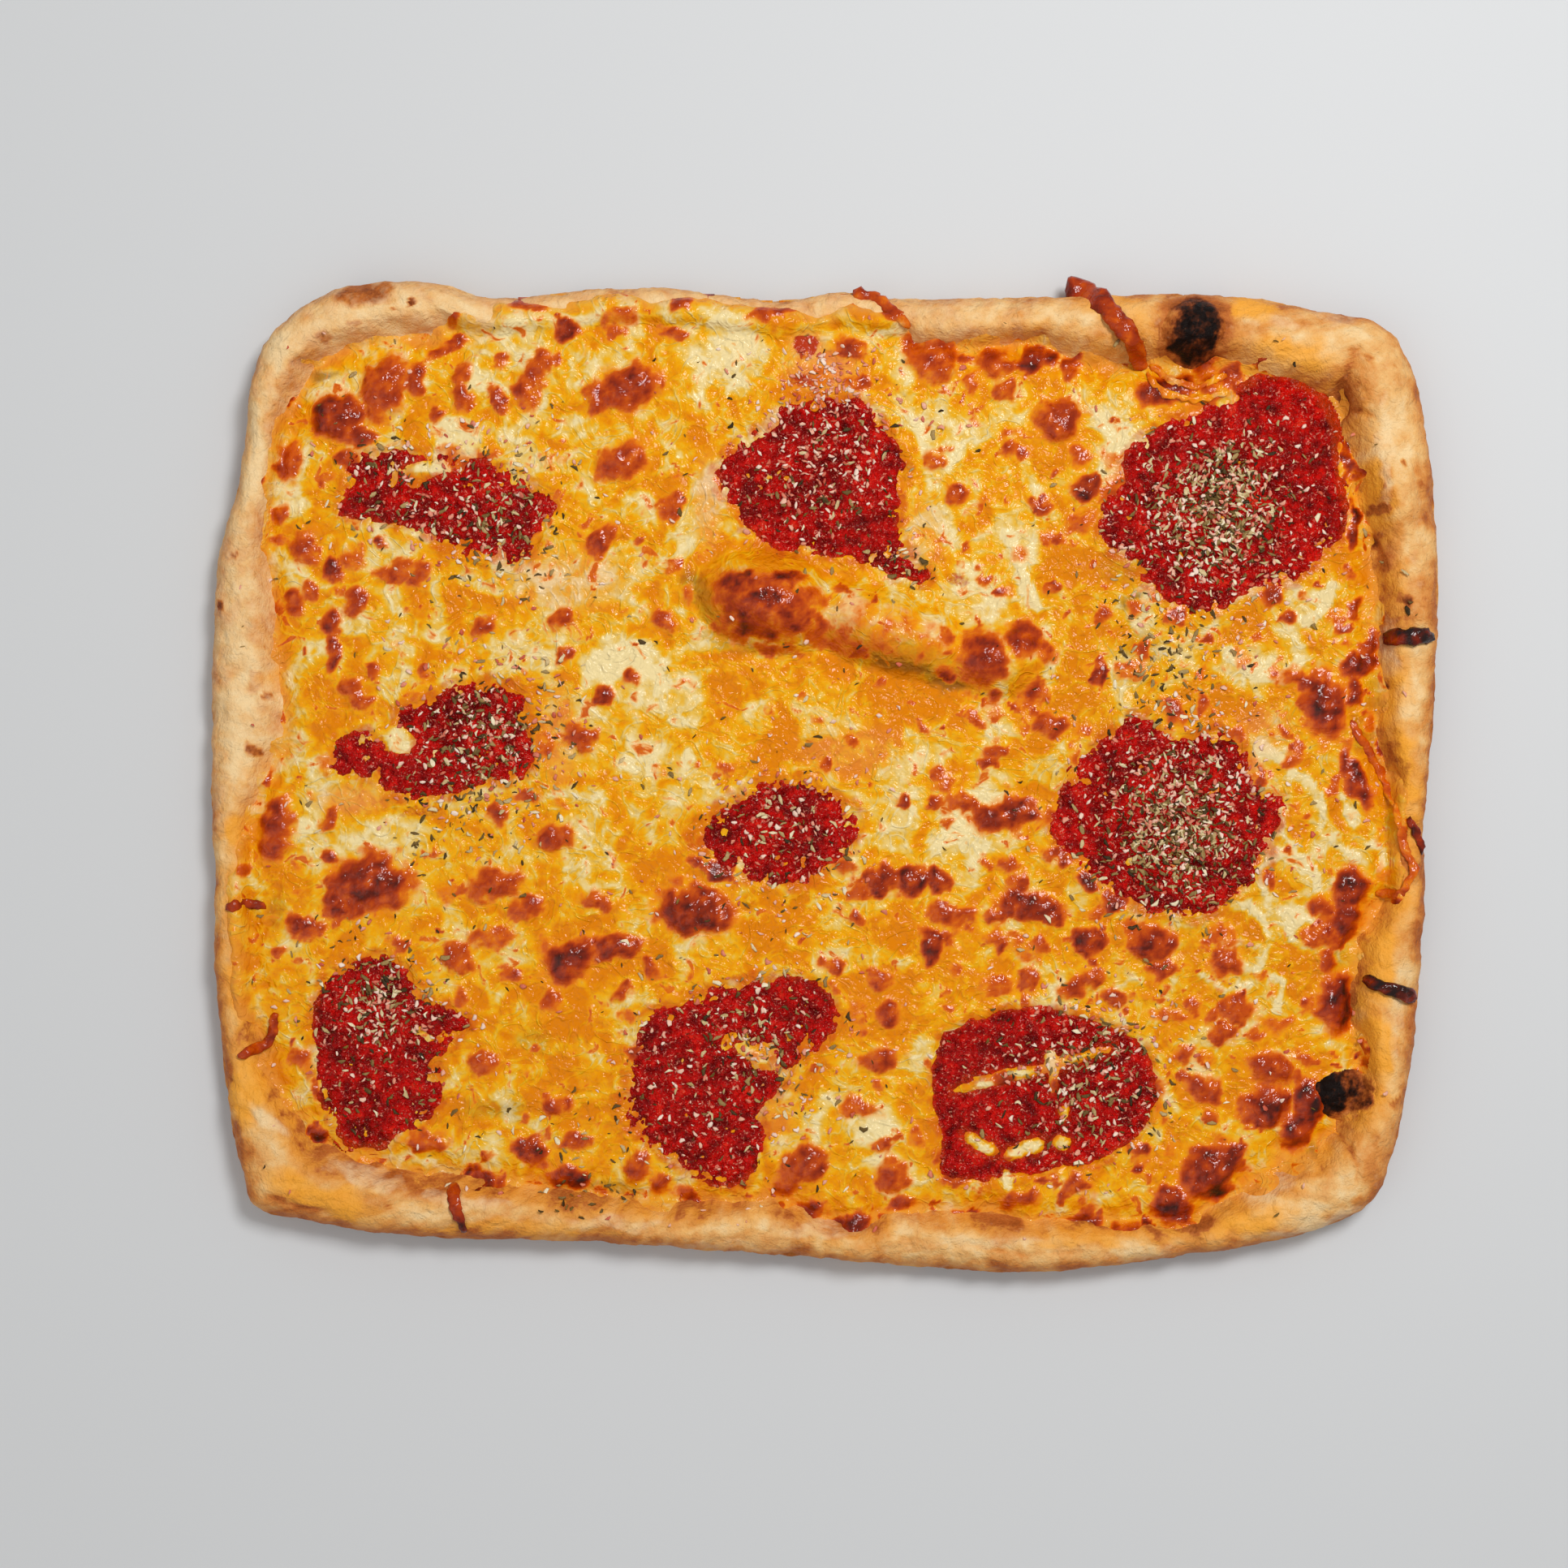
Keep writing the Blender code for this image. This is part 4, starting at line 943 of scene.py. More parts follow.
def sauce_surface(points, loop):
    """The height of a spoonful of sauce at each point, and how thin it lies there."""
    inside = pool_depth(points, loop)
    pulp = rough(points, 4.2 * MM, 61, 3, 0.6)
    swell = waves(points, 11 * MM, 66)
    settled = eased(0.15 + inside / (3 * MM))
    height = (
        SAUCE_LEVEL + SAUCE_CROWN * eased(inside / (7 * MM)) + SAUCE_PULP * pulp * settled
        + 0.5 * MM * swell * settled - 1.8 * MM * eased(0.3 - inside / (2.2 * MM))
    )
    return {"height": height, "thin": eased(1 - inside / (4 * MM)), "pulp": 0.52 + 0.3 * pulp}


def top_of_all(points):
    """The height of whatever lies on top at each point: dough, cheese or sauce."""
    inset = inset_of(points, EDGE)
    height = np.maximum(dough_top(points, inset), cheese_surface(points)["height"])
    for loop in SAUCE_LOOPS.values():
        near = inset_of(points, loop) > -SAUCE_MARGIN
        if near.any():
            height[near] = np.maximum(height[near], sauce_surface(points[near], loop)["height"])
    return height


def linked(name, shape, surface):
    """A new object in the scene, made from a bmesh."""
    mesh = bpy.data.meshes.new(name)
    shape.to_mesh(mesh)
    shape.free()
    mesh.materials.append(surface)
    made = bpy.data.objects.new(name, mesh)
    bpy.context.scene.collection.objects.link(made)
    return made


def add_piece(name, shape, surface, replaced=()):
    """The mesh of a finished piece: smooth, facing out and riding on the pizza's one body."""
    bmesh.ops.recalc_face_normals(shape, faces=shape.faces)
    piece = linked(name, shape, surface)
    piece.data.shade_smooth()
    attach(piece, "root")
    if replaced:
        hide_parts(*replaced)
    return piece.data


def coordinates(mesh):
    values = np.empty(len(mesh.vertices) * 3)
    mesh.vertices.foreach_get("co", values)
    return values.reshape(-1, 3)


def set_coordinates(mesh, values):
    """Moves the vertices, none of them above the box of the solids."""
    values[:, 2] = np.minimum(values[:, 2], CAD_BOX[1][2])
    mesh.vertices.foreach_set("co", values.ravel())
    mesh.update()


def set_tones(mesh, tones):
    """Stores each tone as a value at every vertex, for the materials."""
    for name, values in tones.items():
        attribute = mesh.attributes.new(name, "FLOAT", "POINT")
        attribute.data.foreach_set("value", np.asarray(values, np.float32))


def relief_piece(name, loop, margin, cell, bottom, surface_of, surface, replaced=()):
    """A closed piece over the loop and a margin: a fine grid on top, raised by surface_of."""
    low, high = loop.min(axis=0) - margin - cell, loop.max(axis=0) + margin + cell
    size = high - low
    steps = np.ceil(size / cell).astype(int)
    shape = bmesh.new()
    spread = Matrix.Translation((*((low + high) / 2), 1)) @ Matrix.Diagonal((*size, 1, 1))
    bmesh.ops.create_grid(
        shape, x_segments=int(steps[0]), y_segments=int(steps[1]), size=0.5, matrix=spread
    )
    points = np.array([vert.co.xy for vert in shape.verts])
    outside = inset_of(points, loop) < -margin
    dropped = [vert for vert, out in zip(shape.verts, outside) if out]
    bmesh.ops.delete(shape, geom=dropped, context="VERTS")
    sunk = bmesh.ops.extrude_edge_only(shape, edges=open_edges(shape))["geom"]
    for vert in (item for item in sunk if isinstance(item, bmesh.types.BMVert)):
        vert.co.z = bottom
    bmesh.ops.holes_fill(shape, edges=open_edges(shape))
    mesh = add_piece(name, shape, surface, replaced)
    spots = coordinates(mesh)
    state = surface_of(spots[:, :2])
    top = spots[:, 2] > 0.5
    spots[top, 2] = np.maximum(state.pop("height")[top], bottom + THINNEST)
    set_coordinates(mesh, spots)
    set_tones(mesh, state)


def open_edges(shape):
    return [edge for edge in shape.edges if edge.is_boundary]


def rim_rings(widths, crowns):
    """Insets and heights of the rings that run over the rim, from its foot to its underside."""
    crown_insets = RIM_CROWN * widths
    bulges = RIM_BULGE * crowns
    for step in range(SLOPE_RINGS + 1):
        share = 1 - step / SLOPE_RINGS
        inset = crown_insets + share * (widths - crown_insets)
        yield inset, FLOOR_TOP + (crowns - FLOOR_TOP) * rim_rise(share)
    for step in range(1, OUTER_RINGS + 1):
        turn = math.pi / 2 * (1 - step / OUTER_RINGS)
        yield crown_insets * (1 - math.cos(turn)), bulges + (crowns - bulges) * math.sin(turn)
    for step in range(1, UNDER_RINGS + 1):
        turn = math.pi / 2 * step / UNDER_RINGS
        tucked = np.full_like(widths, RIM_TUCK * (1 - math.cos(turn)))
        yield tucked, bulges * (1 - math.sin(turn))


def ray_insets(rays):
    """Distances along the rays from the middle, and the inset from the dough's edge at each."""
    reaches = np.arange(*RAY_REACH)
    points = (rays[:, None, :] * reaches[None, :, None]).reshape(-1, 2)
    return reaches, inset_of(points, EDGE).reshape(len(rays), -1)


def skin_of(flat, across):
    """Coordinates on the dough's skin: along its edge and across it."""
    along = np.arctan2(flat[:, 1], flat[:, 0]) / math.tau * EDGE_LENGTH
    return np.column_stack([along, across])


def dough_tones(flat, inset, skin):
    """How browned, floured or painted with highlight streaks, and golden with oil the dough is at each
    point.
    """
    golden = around(flat, RIM_TONES, 1)
    reach = inset - around(flat, CHEESE_INSETS)
    from_crown = (inset / (RIM_CROWN * rim_width(flat)) - 1) / 0.5
    # Paler along the crown: a painted highlight. Darker within 5 mm of the outer edge: partly toasting,
    # partly painted shade.
    tone = (
        0.14 + 0.55 * golden - 0.14 * np.exp(-from_crown**2)
        + 0.26 * np.minimum(rough(skin, 20 * MM, 91, 3, 0.6, EDGE_LENGTH), 0.5)
        + 0.13 * np.minimum(rough(skin, 5 * MM, 95, 3, 0.6, EDGE_LENGTH), 0.7)
        + (0.04 + 0.12 * around(flat, OILED, 1)) * eased(1 + reach / (7 * MM))
        + 0.16 * eased(1 - inset / (5 * MM))
    )
    ragged = warped(warped(flat, 9 * MM, 1.8 * MM, 96), 3 * MM, 0.7 * MM, 98)
    tone = np.maximum(np.minimum(tone, 0.58), patches(ragged, DOUGH_SPOTS, 0.6))
    unburnt = eased((0.72 - tone) / 0.2)
    patchy = np.clip(0.75 + 0.6 * rough(skin, 12 * MM, 99, 3, 0.6, EDGE_LENGTH), 0, 1)
    smeared = patches(warped(flat, 9 * MM, 3 * MM, 97), BASTED, 1.0)
    oiled = eased(1 + reach / (13 * MM)) * patchy * around(flat, OILED, 1)
    # Flour patches, some of which are painted highlight streaks along the crown
    flour_and_highlight_patches = patches(warped(flat, 8 * MM, 2 * MM, 93), FLOUR_AND_HIGHLIGHT_STREAKS, 1.0)
    return {
        "tone": np.clip(tone, 0, 1),
        "floury": unburnt * np.maximum(eased(1.1 - 2.2 * golden), 1.2 * flour_and_highlight_patches),
        "basted": unburnt * (np.maximum(oiled, 1.3 * smeared) - 0.8 * flour_and_highlight_patches),
    }


def points_inside(rays, insets, reaches, rows):
    """The point on each ray that lies this far in from the dough's edge."""
    found = []
    for inset, row in zip(insets, rows):
        known = row > -RAY_BEYOND
        found.append(np.interp(-inset, -row[known], reaches[known]))
    return rays * np.array(found)[:, None]


def make_crust(surface):
    """The dough in fine rings."""
    loop = smooth_loop(OUTLINE, EDGE_LENGTH / RIM_COLUMNS)
    columns = len(loop)
    rays = loop / np.hypot(*loop.T)[:, None]
    reaches, rows = ray_insets(rays)
    rings = [
        (points_inside(rays, insets, reaches, rows), heights)
        for insets, heights in rim_rings(rim_width(loop), rim_crown(loop))
    ]
    shape = bmesh.new()
    bmesh.ops.create_grid(shape, x_segments=columns, y_segments=len(rings) - 1, size=0.5)
    for vert in shape.verts:
        column = round((vert.co.x + 0.5) * columns) % columns
        points, heights = rings[round((vert.co.y + 0.5) * (len(rings) - 1))]
        vert.co = (*points[column], heights[column])
    bmesh.ops.remove_doubles(shape, verts=shape.verts, dist=DOUBLE)
    bmesh.ops.holes_fill(shape, edges=open_edges(shape))
    roughen_crust(add_piece("crust_baked", shape, surface, ["crust"]))


def roughen_crust(mesh):
    """Gives the dough its dents, creases, pores and soft bubble, and its tones."""
    spots = coordinates(mesh)
    flat = spots[:, :2]
    inset = inset_of(flat, EDGE)
    normals = np.empty(len(spots) * 3)
    mesh.vertex_normals.foreach_get("vector", normals)
    normals = normals.reshape(-1, 3)
    upward = normals[:, 2]
    skin = skin_of(flat, np.where(upward > 0.2, inset, -spots[:, 2]))
    dents = 2.4 * MM * rough(skin, 13 * MM, 81, 2, 0.5, EDGE_LENGTH)
    pores = DOUGH_ROUGHNESS * rough(skin, 3.2 * MM, 84, 3, 0.6, EDGE_LENGTH)
    above = eased(spots[:, 2] / (4 * MM))
    charred = patches(flat, [spot for spot in DOUGH_SPOTS if spot.tone > CHARRED], 0.5)
    crisp = charred * 0.7 * MM * rough(flat, 2.2 * MM, 88, 2)
    cuts = traced(warped(flat, 5 * MM, 0.5 * MM, 87), CREASES) * (upward > 0.2)
    push = above * (np.minimum(0.35 * dents, DENT) - DENT + pores + crisp - cuts)
    spots += normals * push[:, None]
    spots[:, 2] += domes_over(flat, SOFT_BUBBLES, 1 * MM) * (upward > 0.1)
    spots = np.clip(spots, *CAD_BOX)
    set_coordinates(mesh, spots)
    tones = dough_tones(flat, inset, skin)
    # Darker in the creases: painted shade. Darker low on the sides: partly toasting, partly painted
    # shade.
    tones["tone"] += 0.22 * eased(cuts / (1.2 * MM)) + 0.19 * eased(1 - spots[:, 2] / (9 * MM))
    set_tones(mesh, tones)


def bubble_surface(points):
    """The height and tone of the charred bubbles that swell out of the rim."""
    inset = inset_of(points, EDGE)
    rise = domes_over(warped(points, 5 * MM, 0.5 * MM, 111), CHARRED_BUBBLES, 1 * MM)
    flaky = eased(rise / (3 * MM)) * (0.4 * MM * rough(points, 3 * MM, 113, 4, 0.65))
    rooted = -1.6 * MM * eased(1 - rise / (1.6 * MM))
    tones = dough_tones(points, inset, skin_of(points, inset))
    scorched = eased((tones["tone"] - 0.45) / 0.2)
    tones["tone"] *= 1 + 0.2 * scorched * rough(points, 3.4 * MM, 117, 4, 0.65)
    return {"height": dough_top(points, inset) + rise + flaky + rooted, **tones}


def make_bubbles(surface):
    """The two charred bubbles on the rim."""
    turns = np.linspace(0, math.tau, 48, endpoint=False)
    for number, dome in enumerate(CHARRED_BUBBLES, 1):
        oval = np.column_stack([
            (dome.long * MM + BUBBLE_MARGIN) * np.cos(turns),
            (dome.wide * MM + BUBBLE_MARGIN) * np.sin(turns),
        ])
        loop = place((dome.column, dome.row)) + np.column_stack(turned(oval, -dome.turn))
        relief_piece(
            f"charred_bubble_{number}", loop, 0, BUBBLE_CELL, BUBBLE_BOTTOM, bubble_surface,
            surface,
        )


def tube(shape, sides, rings):
    """A round tube of radius 1 along z, from 0 at one end to the number of rings at the other."""
    first = len(shape.verts)
    bmesh.ops.create_cone(
        shape, cap_ends=True, segments=sides, radius1=1, radius2=1, depth=rings,
        matrix=Matrix.Translation((0, 0, rings / 2)),
    )
    shape.verts.ensure_lookup_table()
    walls = {
        edge for vert in shape.verts[first:] for edge in vert.link_edges
        if abs(edge.verts[0].co.z - edge.verts[1].co.z) > rings / 2
    }
    bmesh.ops.subdivide_edges(shape, edges=list(walls), cuts=rings - 1)
    shape.verts.ensure_lookup_table()
    return shape.verts[first:]


def make_cheese(surface):
    """The melted sheet of cheese with its bubbles and blisters."""
    angles = np.linspace(0, math.tau, CHEESE_CORNERS, endpoint=False)
    rays = np.column_stack([np.cos(angles), np.sin(angles)])
    insets = np.maximum(around(rays, CHEESE_INSETS) - CHEESE_REACH, 0.5 * MM)
    edge = points_inside(rays, insets, *ray_insets(rays))
    relief_piece(
        "cheese_browned", edge, 0, CHEESE_CELL, CHEESE_BOTTOM, cheese_surface, surface,
        ["cheese"],
    )


def make_sauces(surface):
    """The nine spoonfuls of sauce."""
    for name, loop in SAUCE_LOOPS.items():
        relief_piece(
            name + "_pulp", loop, SAUCE_MARGIN, SAUCE_CELL, SAUCE_BOTTOM,
            lambda points, loop=loop: sauce_surface(points, loop), surface,
            [name],
        )


def string_line(pixels):
    """Even points, a little wavy, along a string that runs through these pixels."""
    line = evenly(np.array([place(pixel) for pixel in pixels]), STRING_STEP, fewest=6)
    for _ in range(3):
        line[1:-1] = (line[:-2] + 2 * line[1:-1] + line[2:]) / 4
    return line + 0.5 * MM * np.column_stack([waves(line, 4 * MM, 105), waves(line, 4 * MM, 106)])


def make_strings(surface):
    """Strings of cheese, browned or pale, that hang over the rim or lie in loops near it."""
    shape = bmesh.new()
    tones = []
    for pixels, widths, browning in STRINGS:
        line = string_line(pixels)
        heights = np.maximum(dough_top(line, inset_of(line, EDGE)), cheese_surface(line)["height"])
        heights = np.convolve(np.pad(heights, 2, "edge"), np.full(5, 0.2), "valid")
        last = len(line) - 1
        ends = np.minimum(np.arange(len(line)), last - np.arange(len(line)))
        share = np.linspace(0, 1, len(line))
        lumpy = 1 + 0.3 * waves(line, 4 * MM, 103)
        blunt = np.sqrt(np.minimum((ends + 0.6) / 2.5, 1))
        radii = np.interp(share, (0, 1), widths) * MM * lumpy * blunt
        ahead = np.gradient(line, axis=0)
        ahead /= np.hypot(*ahead.T)[:, None]
        for vert in tube(shape, STRING_SIDES, last):
            step = round(vert.co.z)
            out = radii[step] * vert.co.x
            x, y = line[step] + out * np.array([-ahead[step][1], ahead[step][0]])
            vert.co = (x, y, heights[step] + radii[step] * (0.3 + 0.5 * vert.co.y))
            tones.append(np.interp(share[step], (0, 1), browning))
    mesh = add_piece("cheese_strings", shape, surface)
    spots = coordinates(mesh)
    for axis in range(3):
        spots[:, axis] += 0.55 * MM * rough(spots[:, :2] + axis, 2 * MM, 107 + 7 * axis, 3)
    set_coordinates(mesh, spots)
    tones = np.array(tones) * (1 + 0.3 * rough(spots[:, :2], 4 * MM, 109, 3))
    bare = ("oily", "pink", "stained", "film", "border", "pale", "sauced", "dull")
    set_tones(mesh, {"browned": tones, **dict.fromkeys(bare, np.zeros(len(spots)))})


def fallen(falls, count, strewn, dice):
    """Places for flakes: most round where the pinches fell, and some strewn everywhere."""
    found = []
    weights = [fall.share for fall in falls]
    while len(found) < count:
        if dice.random() < strewn:
            pixel = (dice.uniform(*EVERYWHERE[:2]), dice.uniform(*EVERYWHERE[2:]))
        else:
            fall = dice.choices(falls, weights)[0]
            pixel = (dice.gauss(fall.column, fall.spread), dice.gauss(fall.row, fall.spread))
        found.append(place(pixel))
    found = np.array(found)
    return found[inset_of(found, EDGE) > 8 * MM]


def flock(count):
    """This many small balls of radius 1, set out along x with FLOCK_STEP between them."""
    shape = bmesh.new()
    bmesh.ops.create_uvsphere(shape, u_segments=6, v_segments=4, radius=1)
    copies = 1
    while copies < count:
        made = bmesh.ops.duplicate(shape, geom=shape.verts[:] + shape.edges[:] + shape.faces[:])
        fresh = [item for item in made["geom"] if isinstance(item, bmesh.types.BMVert)]
        bmesh.ops.translate(shape, verts=fresh, vec=(FLOCK_STEP * copies, 0, 0))
        copies *= 2
    spare = [vert for vert in shape.verts if vert.co.x > FLOCK_STEP * (count - 0.5)]
    bmesh.ops.delete(shape, geom=spare, context="VERTS")
    return shape


def crumple(spots, flake, kind, count, rng):
    """Tapers, bends and wrinkles each ball of the flock."""
    end = spots[:, 0] ** 2
    spots[:, 1] *= 1 - rng.uniform(-0.5, 0.9, count)[flake] * end
    spots[:, 1] += rng.normal(0, kind.bend, count)[flake] * (end - 0.3)
    spots[:, 2] += 0.9 * rng.normal(0, 1, count)[flake] * (end - 0.3)
    spots += 0.16 * np.column_stack([
        waves(spots[:, :2] + spot_shift(flake, axis), 0.7, kind.seed + axis) for axis in range(3)
    ])


def make_flakes(kind, dice):
    """Small crumpled flakes lying on the pizza, each with its own shade."""
    places = fallen(kind.falls, kind.count, kind.strewn, dice)
    count = len(places)
    surface = flake_finish(kind.material, kind.stops, kind.roughness)
    mesh = add_piece(kind.piece, flock(count), surface)
    spots = coordinates(mesh)
    flake = np.round(spots[:, 0] / FLOCK_STEP).astype(int)
    spots[:, 0] -= FLOCK_STEP * flake
    rng = np.random.default_rng(kind.seed)
    long = rng.uniform(*kind.length, count) * MM / 2
    wide = long * rng.uniform(*kind.breadth, count)
    thick = np.full(count, kind.depth * MM / 2)
    crumple(spots, flake, kind, count, rng)
    spots *= np.column_stack([long, wide, thick])[flake]
    turn = rng.uniform(0, math.tau, count)[flake]
    spots[:, 2] += rng.normal(0, 0.22, count)[flake] * spots[:, 0]
    spots[:, 2] += rng.normal(0, 0.35, count)[flake] * spots[:, 1]
    x = spots[:, 0] * np.cos(turn) - spots[:, 1] * np.sin(turn)
    y = spots[:, 0] * np.sin(turn) + spots[:, 1] * np.cos(turn)
    heights = top_of_all(places) + rng.uniform(0.25, 0.75, count) * kind.depth * MM
    spots = np.column_stack([x, y, spots[:, 2]]) + np.column_stack([places, heights])[flake]
    set_coordinates(mesh, spots)
    set_tones(mesh, {"shade": rng.uniform(0, 1, count)[flake]})


def spot_shift(flake, axis):
    """A different place in the waves for each flake."""
    return np.column_stack([flake * 0.37 + axis, flake * 0.21 - axis])


def linear(red, green, blue):
    """A colour as it is seen on a screen, 0 to 255, as the renderer's linear values."""
    values = []
    for part in (red, green, blue):
        part /= 255
        values.append(part / 12.92 if part <= 0.04045 else ((part + 0.055) / 1.055) ** 2.4)
    return (*values, 1)


def mottle_group():
    """A shader group, used by every material: noise on the piece's own coordinates."""
    group = bpy.data.node_groups.new("mottle", "ShaderNodeTree")
    noise = group.nodes.new("ShaderNodeTexNoise")
    entry = group.nodes.new("NodeGroupInput")
    for name in ("Scale", "Detail", "Distortion"):
        group.interface.new_socket(name, in_out="INPUT", socket_type="NodeSocketFloat")
        group.links.new(entry.outputs[name], noise.inputs[name])
    group.interface.new_socket("Value", in_out="OUTPUT", socket_type="NodeSocketFloat")
    coordinate = group.nodes.new("ShaderNodeTexCoord")
    group.links.new(coordinate.outputs["Object"], noise.inputs["Vector"])
    leave = group.nodes.new("NodeGroupOutput")
    group.links.new(noise.outputs["Fac"], leave.inputs["Value"])
    return group


class Finish:
    """A material under construction: its nodes are added by short calls."""

    def __init__(self, name):
        self.material = bpy.data.materials.new(name)
        self.material.use_nodes = True
        self.nodes = self.material.node_tree.nodes
        self.links = self.material.node_tree.links
        self.shader = self.nodes["Principled BSDF"]

    def feed(self, entry, value):
        """Joins an output to the entry, or sets a number or a colour, as seen on a screen."""
        if isinstance(value, bpy.types.NodeSocket):
            self.links.new(value, entry)
        else:
            entry.default_value = linear(*value) if isinstance(value, tuple) else value

    def add(self, kind, entries, **settings):
        node = self.nodes.new(kind)
        for name, value in settings.items():
            setattr(node, name, value)
        for name, value in entries.items():
            self.feed(node.inputs[name], value)
        return node

    def attribute(self, name):
        return self.add("ShaderNodeAttribute", {}, attribute_name=name).outputs["Fac"]

    def compute(self, operation, *values):
        entries = dict(enumerate(values))
        return self.add("ShaderNodeMath", entries, operation=operation).outputs[0]

    def mottle(self, size, detail, twist=0.0):
        """Noise with swellings of this size."""
        entries = {"Scale": 1 / size, "Detail": detail, "Distortion": twist}
        return self.add("ShaderNodeGroup", entries, node_tree=MOTTLE).outputs["Value"]

    def sum(self, first, second, share, offset=0.0):
        """first + share * second + offset"""
        return self.compute("ADD", first, self.compute("MULTIPLY_ADD", second, share, offset))

    def varied(self, value, share, size, detail, twist=0.0):
        """The value, raised and lowered by noise of this size."""
        return self.sum(value, self.mottle(size, detail, twist), share, -share / 2)

    def ramp(self, value, stops):
        """Colours along a value."""
        node = self.add("ShaderNodeValToRGB", {"Fac": value})
        band = node.color_ramp
        while len(band.elements) < len(stops):
            band.elements.new(0.5)
        for element, (position, colour) in zip(band.elements, stops):
            element.position = position
            element.color = linear(*colour)
        return node.outputs["Color"]

    def blend(self, share, first, second):
        """The first colour, with a share of the second."""
        entries = {"Factor": share, "A": first, "B": second}
        return self.add("ShaderNodeMix", entries, data_type="RGBA").outputs["Result"]

    def within(self, value, low, high, to_low=0.0, to_high=1.0):
        """The value, moved from the first range to the second and held inside it."""
        names = ("Value", "From Min", "From Max", "To Min", "To Max")
        entries = dict(zip(names, (value, low, high, to_low, to_high)))
        return self.add("ShaderNodeMapRange", entries).outputs["Result"]

    def tinted(self, colour, tint, value, most, low=0.0, high=1.0):
        """The colour with more and more of the tint as the value goes from low to high."""
        return self.blend(self.within(value, low, high, 0, most), colour, tint)

    def vein(self, size, width):
        """1 along the thin winding lines where noise of this size crosses its middle."""
        away = self.compute("SUBTRACT", self.mottle(size, 2, 1.2), 0.5)
        return self.within(self.compute("ABSOLUTE", away), 0, width, 1, 0)

    def finished(self, colour, roughness, shine, height, distance):
        """The material, once all of this is joined to its shader."""
        bump = self.add("ShaderNodeBump", {"Height": height, "Distance": distance})
        entries = {
            "Base Color": colour, "Roughness": roughness, "Specular IOR Level": shine,
            "Normal": bump.outputs["Normal"],
        }
        for name, value in entries.items():
            self.feed(self.shader.inputs[name], value)
        return self.material


def cheese_finish():
    """Orange oil, gold and cream in patches and strands, and browned blisters on top."""
    finish = Finish("browned_cheese")
    melt = finish.within(finish.mottle(16 * MM, 2, 0.8), 0.38, 0.64, 0.04, 0.82)
    melt = finish.varied(melt, 1.2, 6 * MM, 1.5, 0.8)
    melt = finish.varied(melt, 0.45, 2 * MM, 2, 0.6)
    strands = finish.vein(10 * MM, 0.06)
    melt = finish.sum(melt, strands, 0.26, -0.04)
    for tone, share in (("pale", 0.5), ("oily", -0.42), ("border", -0.3)):
        melt = finish.sum(melt, finish.attribute(tone), share)
    stained = finish.sum(finish.attribute("stained"), finish.mottle(3 * MM, 4), 0.9, -0.6)
    sauced = finish.sum(finish.attribute("sauced"), finish.mottle(1.5 * MM, 3), 0.8, -0.45)
    colour = finish.ramp(melt, MELT_STOPS)
    colour = finish.tinted(colour, FILM, finish.attribute("film"), 0.6)
    colour = finish.tinted(colour, BLUSH, finish.attribute("pink"), 0.5)
    colour = finish.tinted(colour, STAIN, stained, 0.8, 0.3, 0.9)
    colour = finish.tinted(colour, DAB, sauced, 0.9, 0.2, 0.6)
    # Painted shade blended in over the shaded patches
    colour = finish.tinted(colour, PAINTED_SHADE_TINT, finish.attribute("dull"), 0.75)

    flecks = finish.within(finish.mottle(6 * MM, 3, 0.8), 0.56, 0.7, 0, 0.42)
    tone = finish.compute("MAXIMUM", finish.attribute("browned"), flecks)
    tone = finish.sum(tone, finish.attribute("border"), 0.26)
    tone = finish.varied(tone, 0.22, 3 * MM, 3, 0.5)
    tone = finish.varied(tone, 0.1, 1 * MM, 3)
    browned = finish.within(tone, 0.12, 0.4)
    height = finish.sum(finish.mottle(3 * MM, 2, 0.5), melt, 0.1, -0.5)
    height = finish.sum(height, strands, 0.16)
    height = finish.compute("MULTIPLY", height, finish.within(browned, 0, 1, 1, 0.4))
    crisp = finish.compute("MULTIPLY", browned, finish.mottle(2 * MM, 2, 1.0))
    wet = finish.within(finish.mottle(6 * MM, 3), 0.4, 0.6, 0.1, 0.2)
    return finish.finished(
        colour=finish.blend(browned, colour, finish.ramp(tone, BROWN_STOPS)),
        roughness=finish.sum(wet, browned, -0.03),
        shine=finish.within(browned, 0.3, 1, 0.15, 0.3),
        height=finish.sum(height, crisp, 0.22),
        distance=1.1 * MM,
    )


def dough_finish():
    """Cream to tan and charcoal, with flour and painted highlight streaks over it, and basted with oil.
    """
    finish = Finish("baked_dough_skin")
    tone = finish.varied(finish.attribute("tone"), 0.42, 6 * MM, 5, 0.4)
    tone = finish.varied(tone, 0.18, 0.9 * MM, 3)
    flour_and_highlight_share = finish.sum(finish.attribute("floury"), finish.mottle(3 * MM, 6), 1.6, -1.15)
    basted = finish.sum(finish.attribute("basted"), finish.mottle(5 * MM, 4), 0.6, -0.35)
    basted = finish.sum(basted, finish.within(tone, 0.5, 0.7), -1)
    colour = finish.ramp(tone, DOUGH_STOPS)
    # Flour and painted highlights blended in as a pale cream
    colour = finish.tinted(colour, FLOUR_AND_HIGHLIGHT_TINT, flour_and_highlight_share, 0.6)
    colour = finish.tinted(colour, BASTING, basted, 0.85)
    height = finish.sum(finish.mottle(2.5 * MM, 6, 0.6), finish.mottle(0.6 * MM, 2), 0.3)
    return finish.finished(
        colour=colour,
        roughness=finish.within(tone, 0.2, 0.8, 0.66, 0.5),
        shine=finish.within(tone, 0.4, 0.8, 0.26, 0.06),
        height=finish.sum(height, finish.mottle(9 * MM, 3, 0.8), 1.6),
        distance=0.9 * MM,
    )


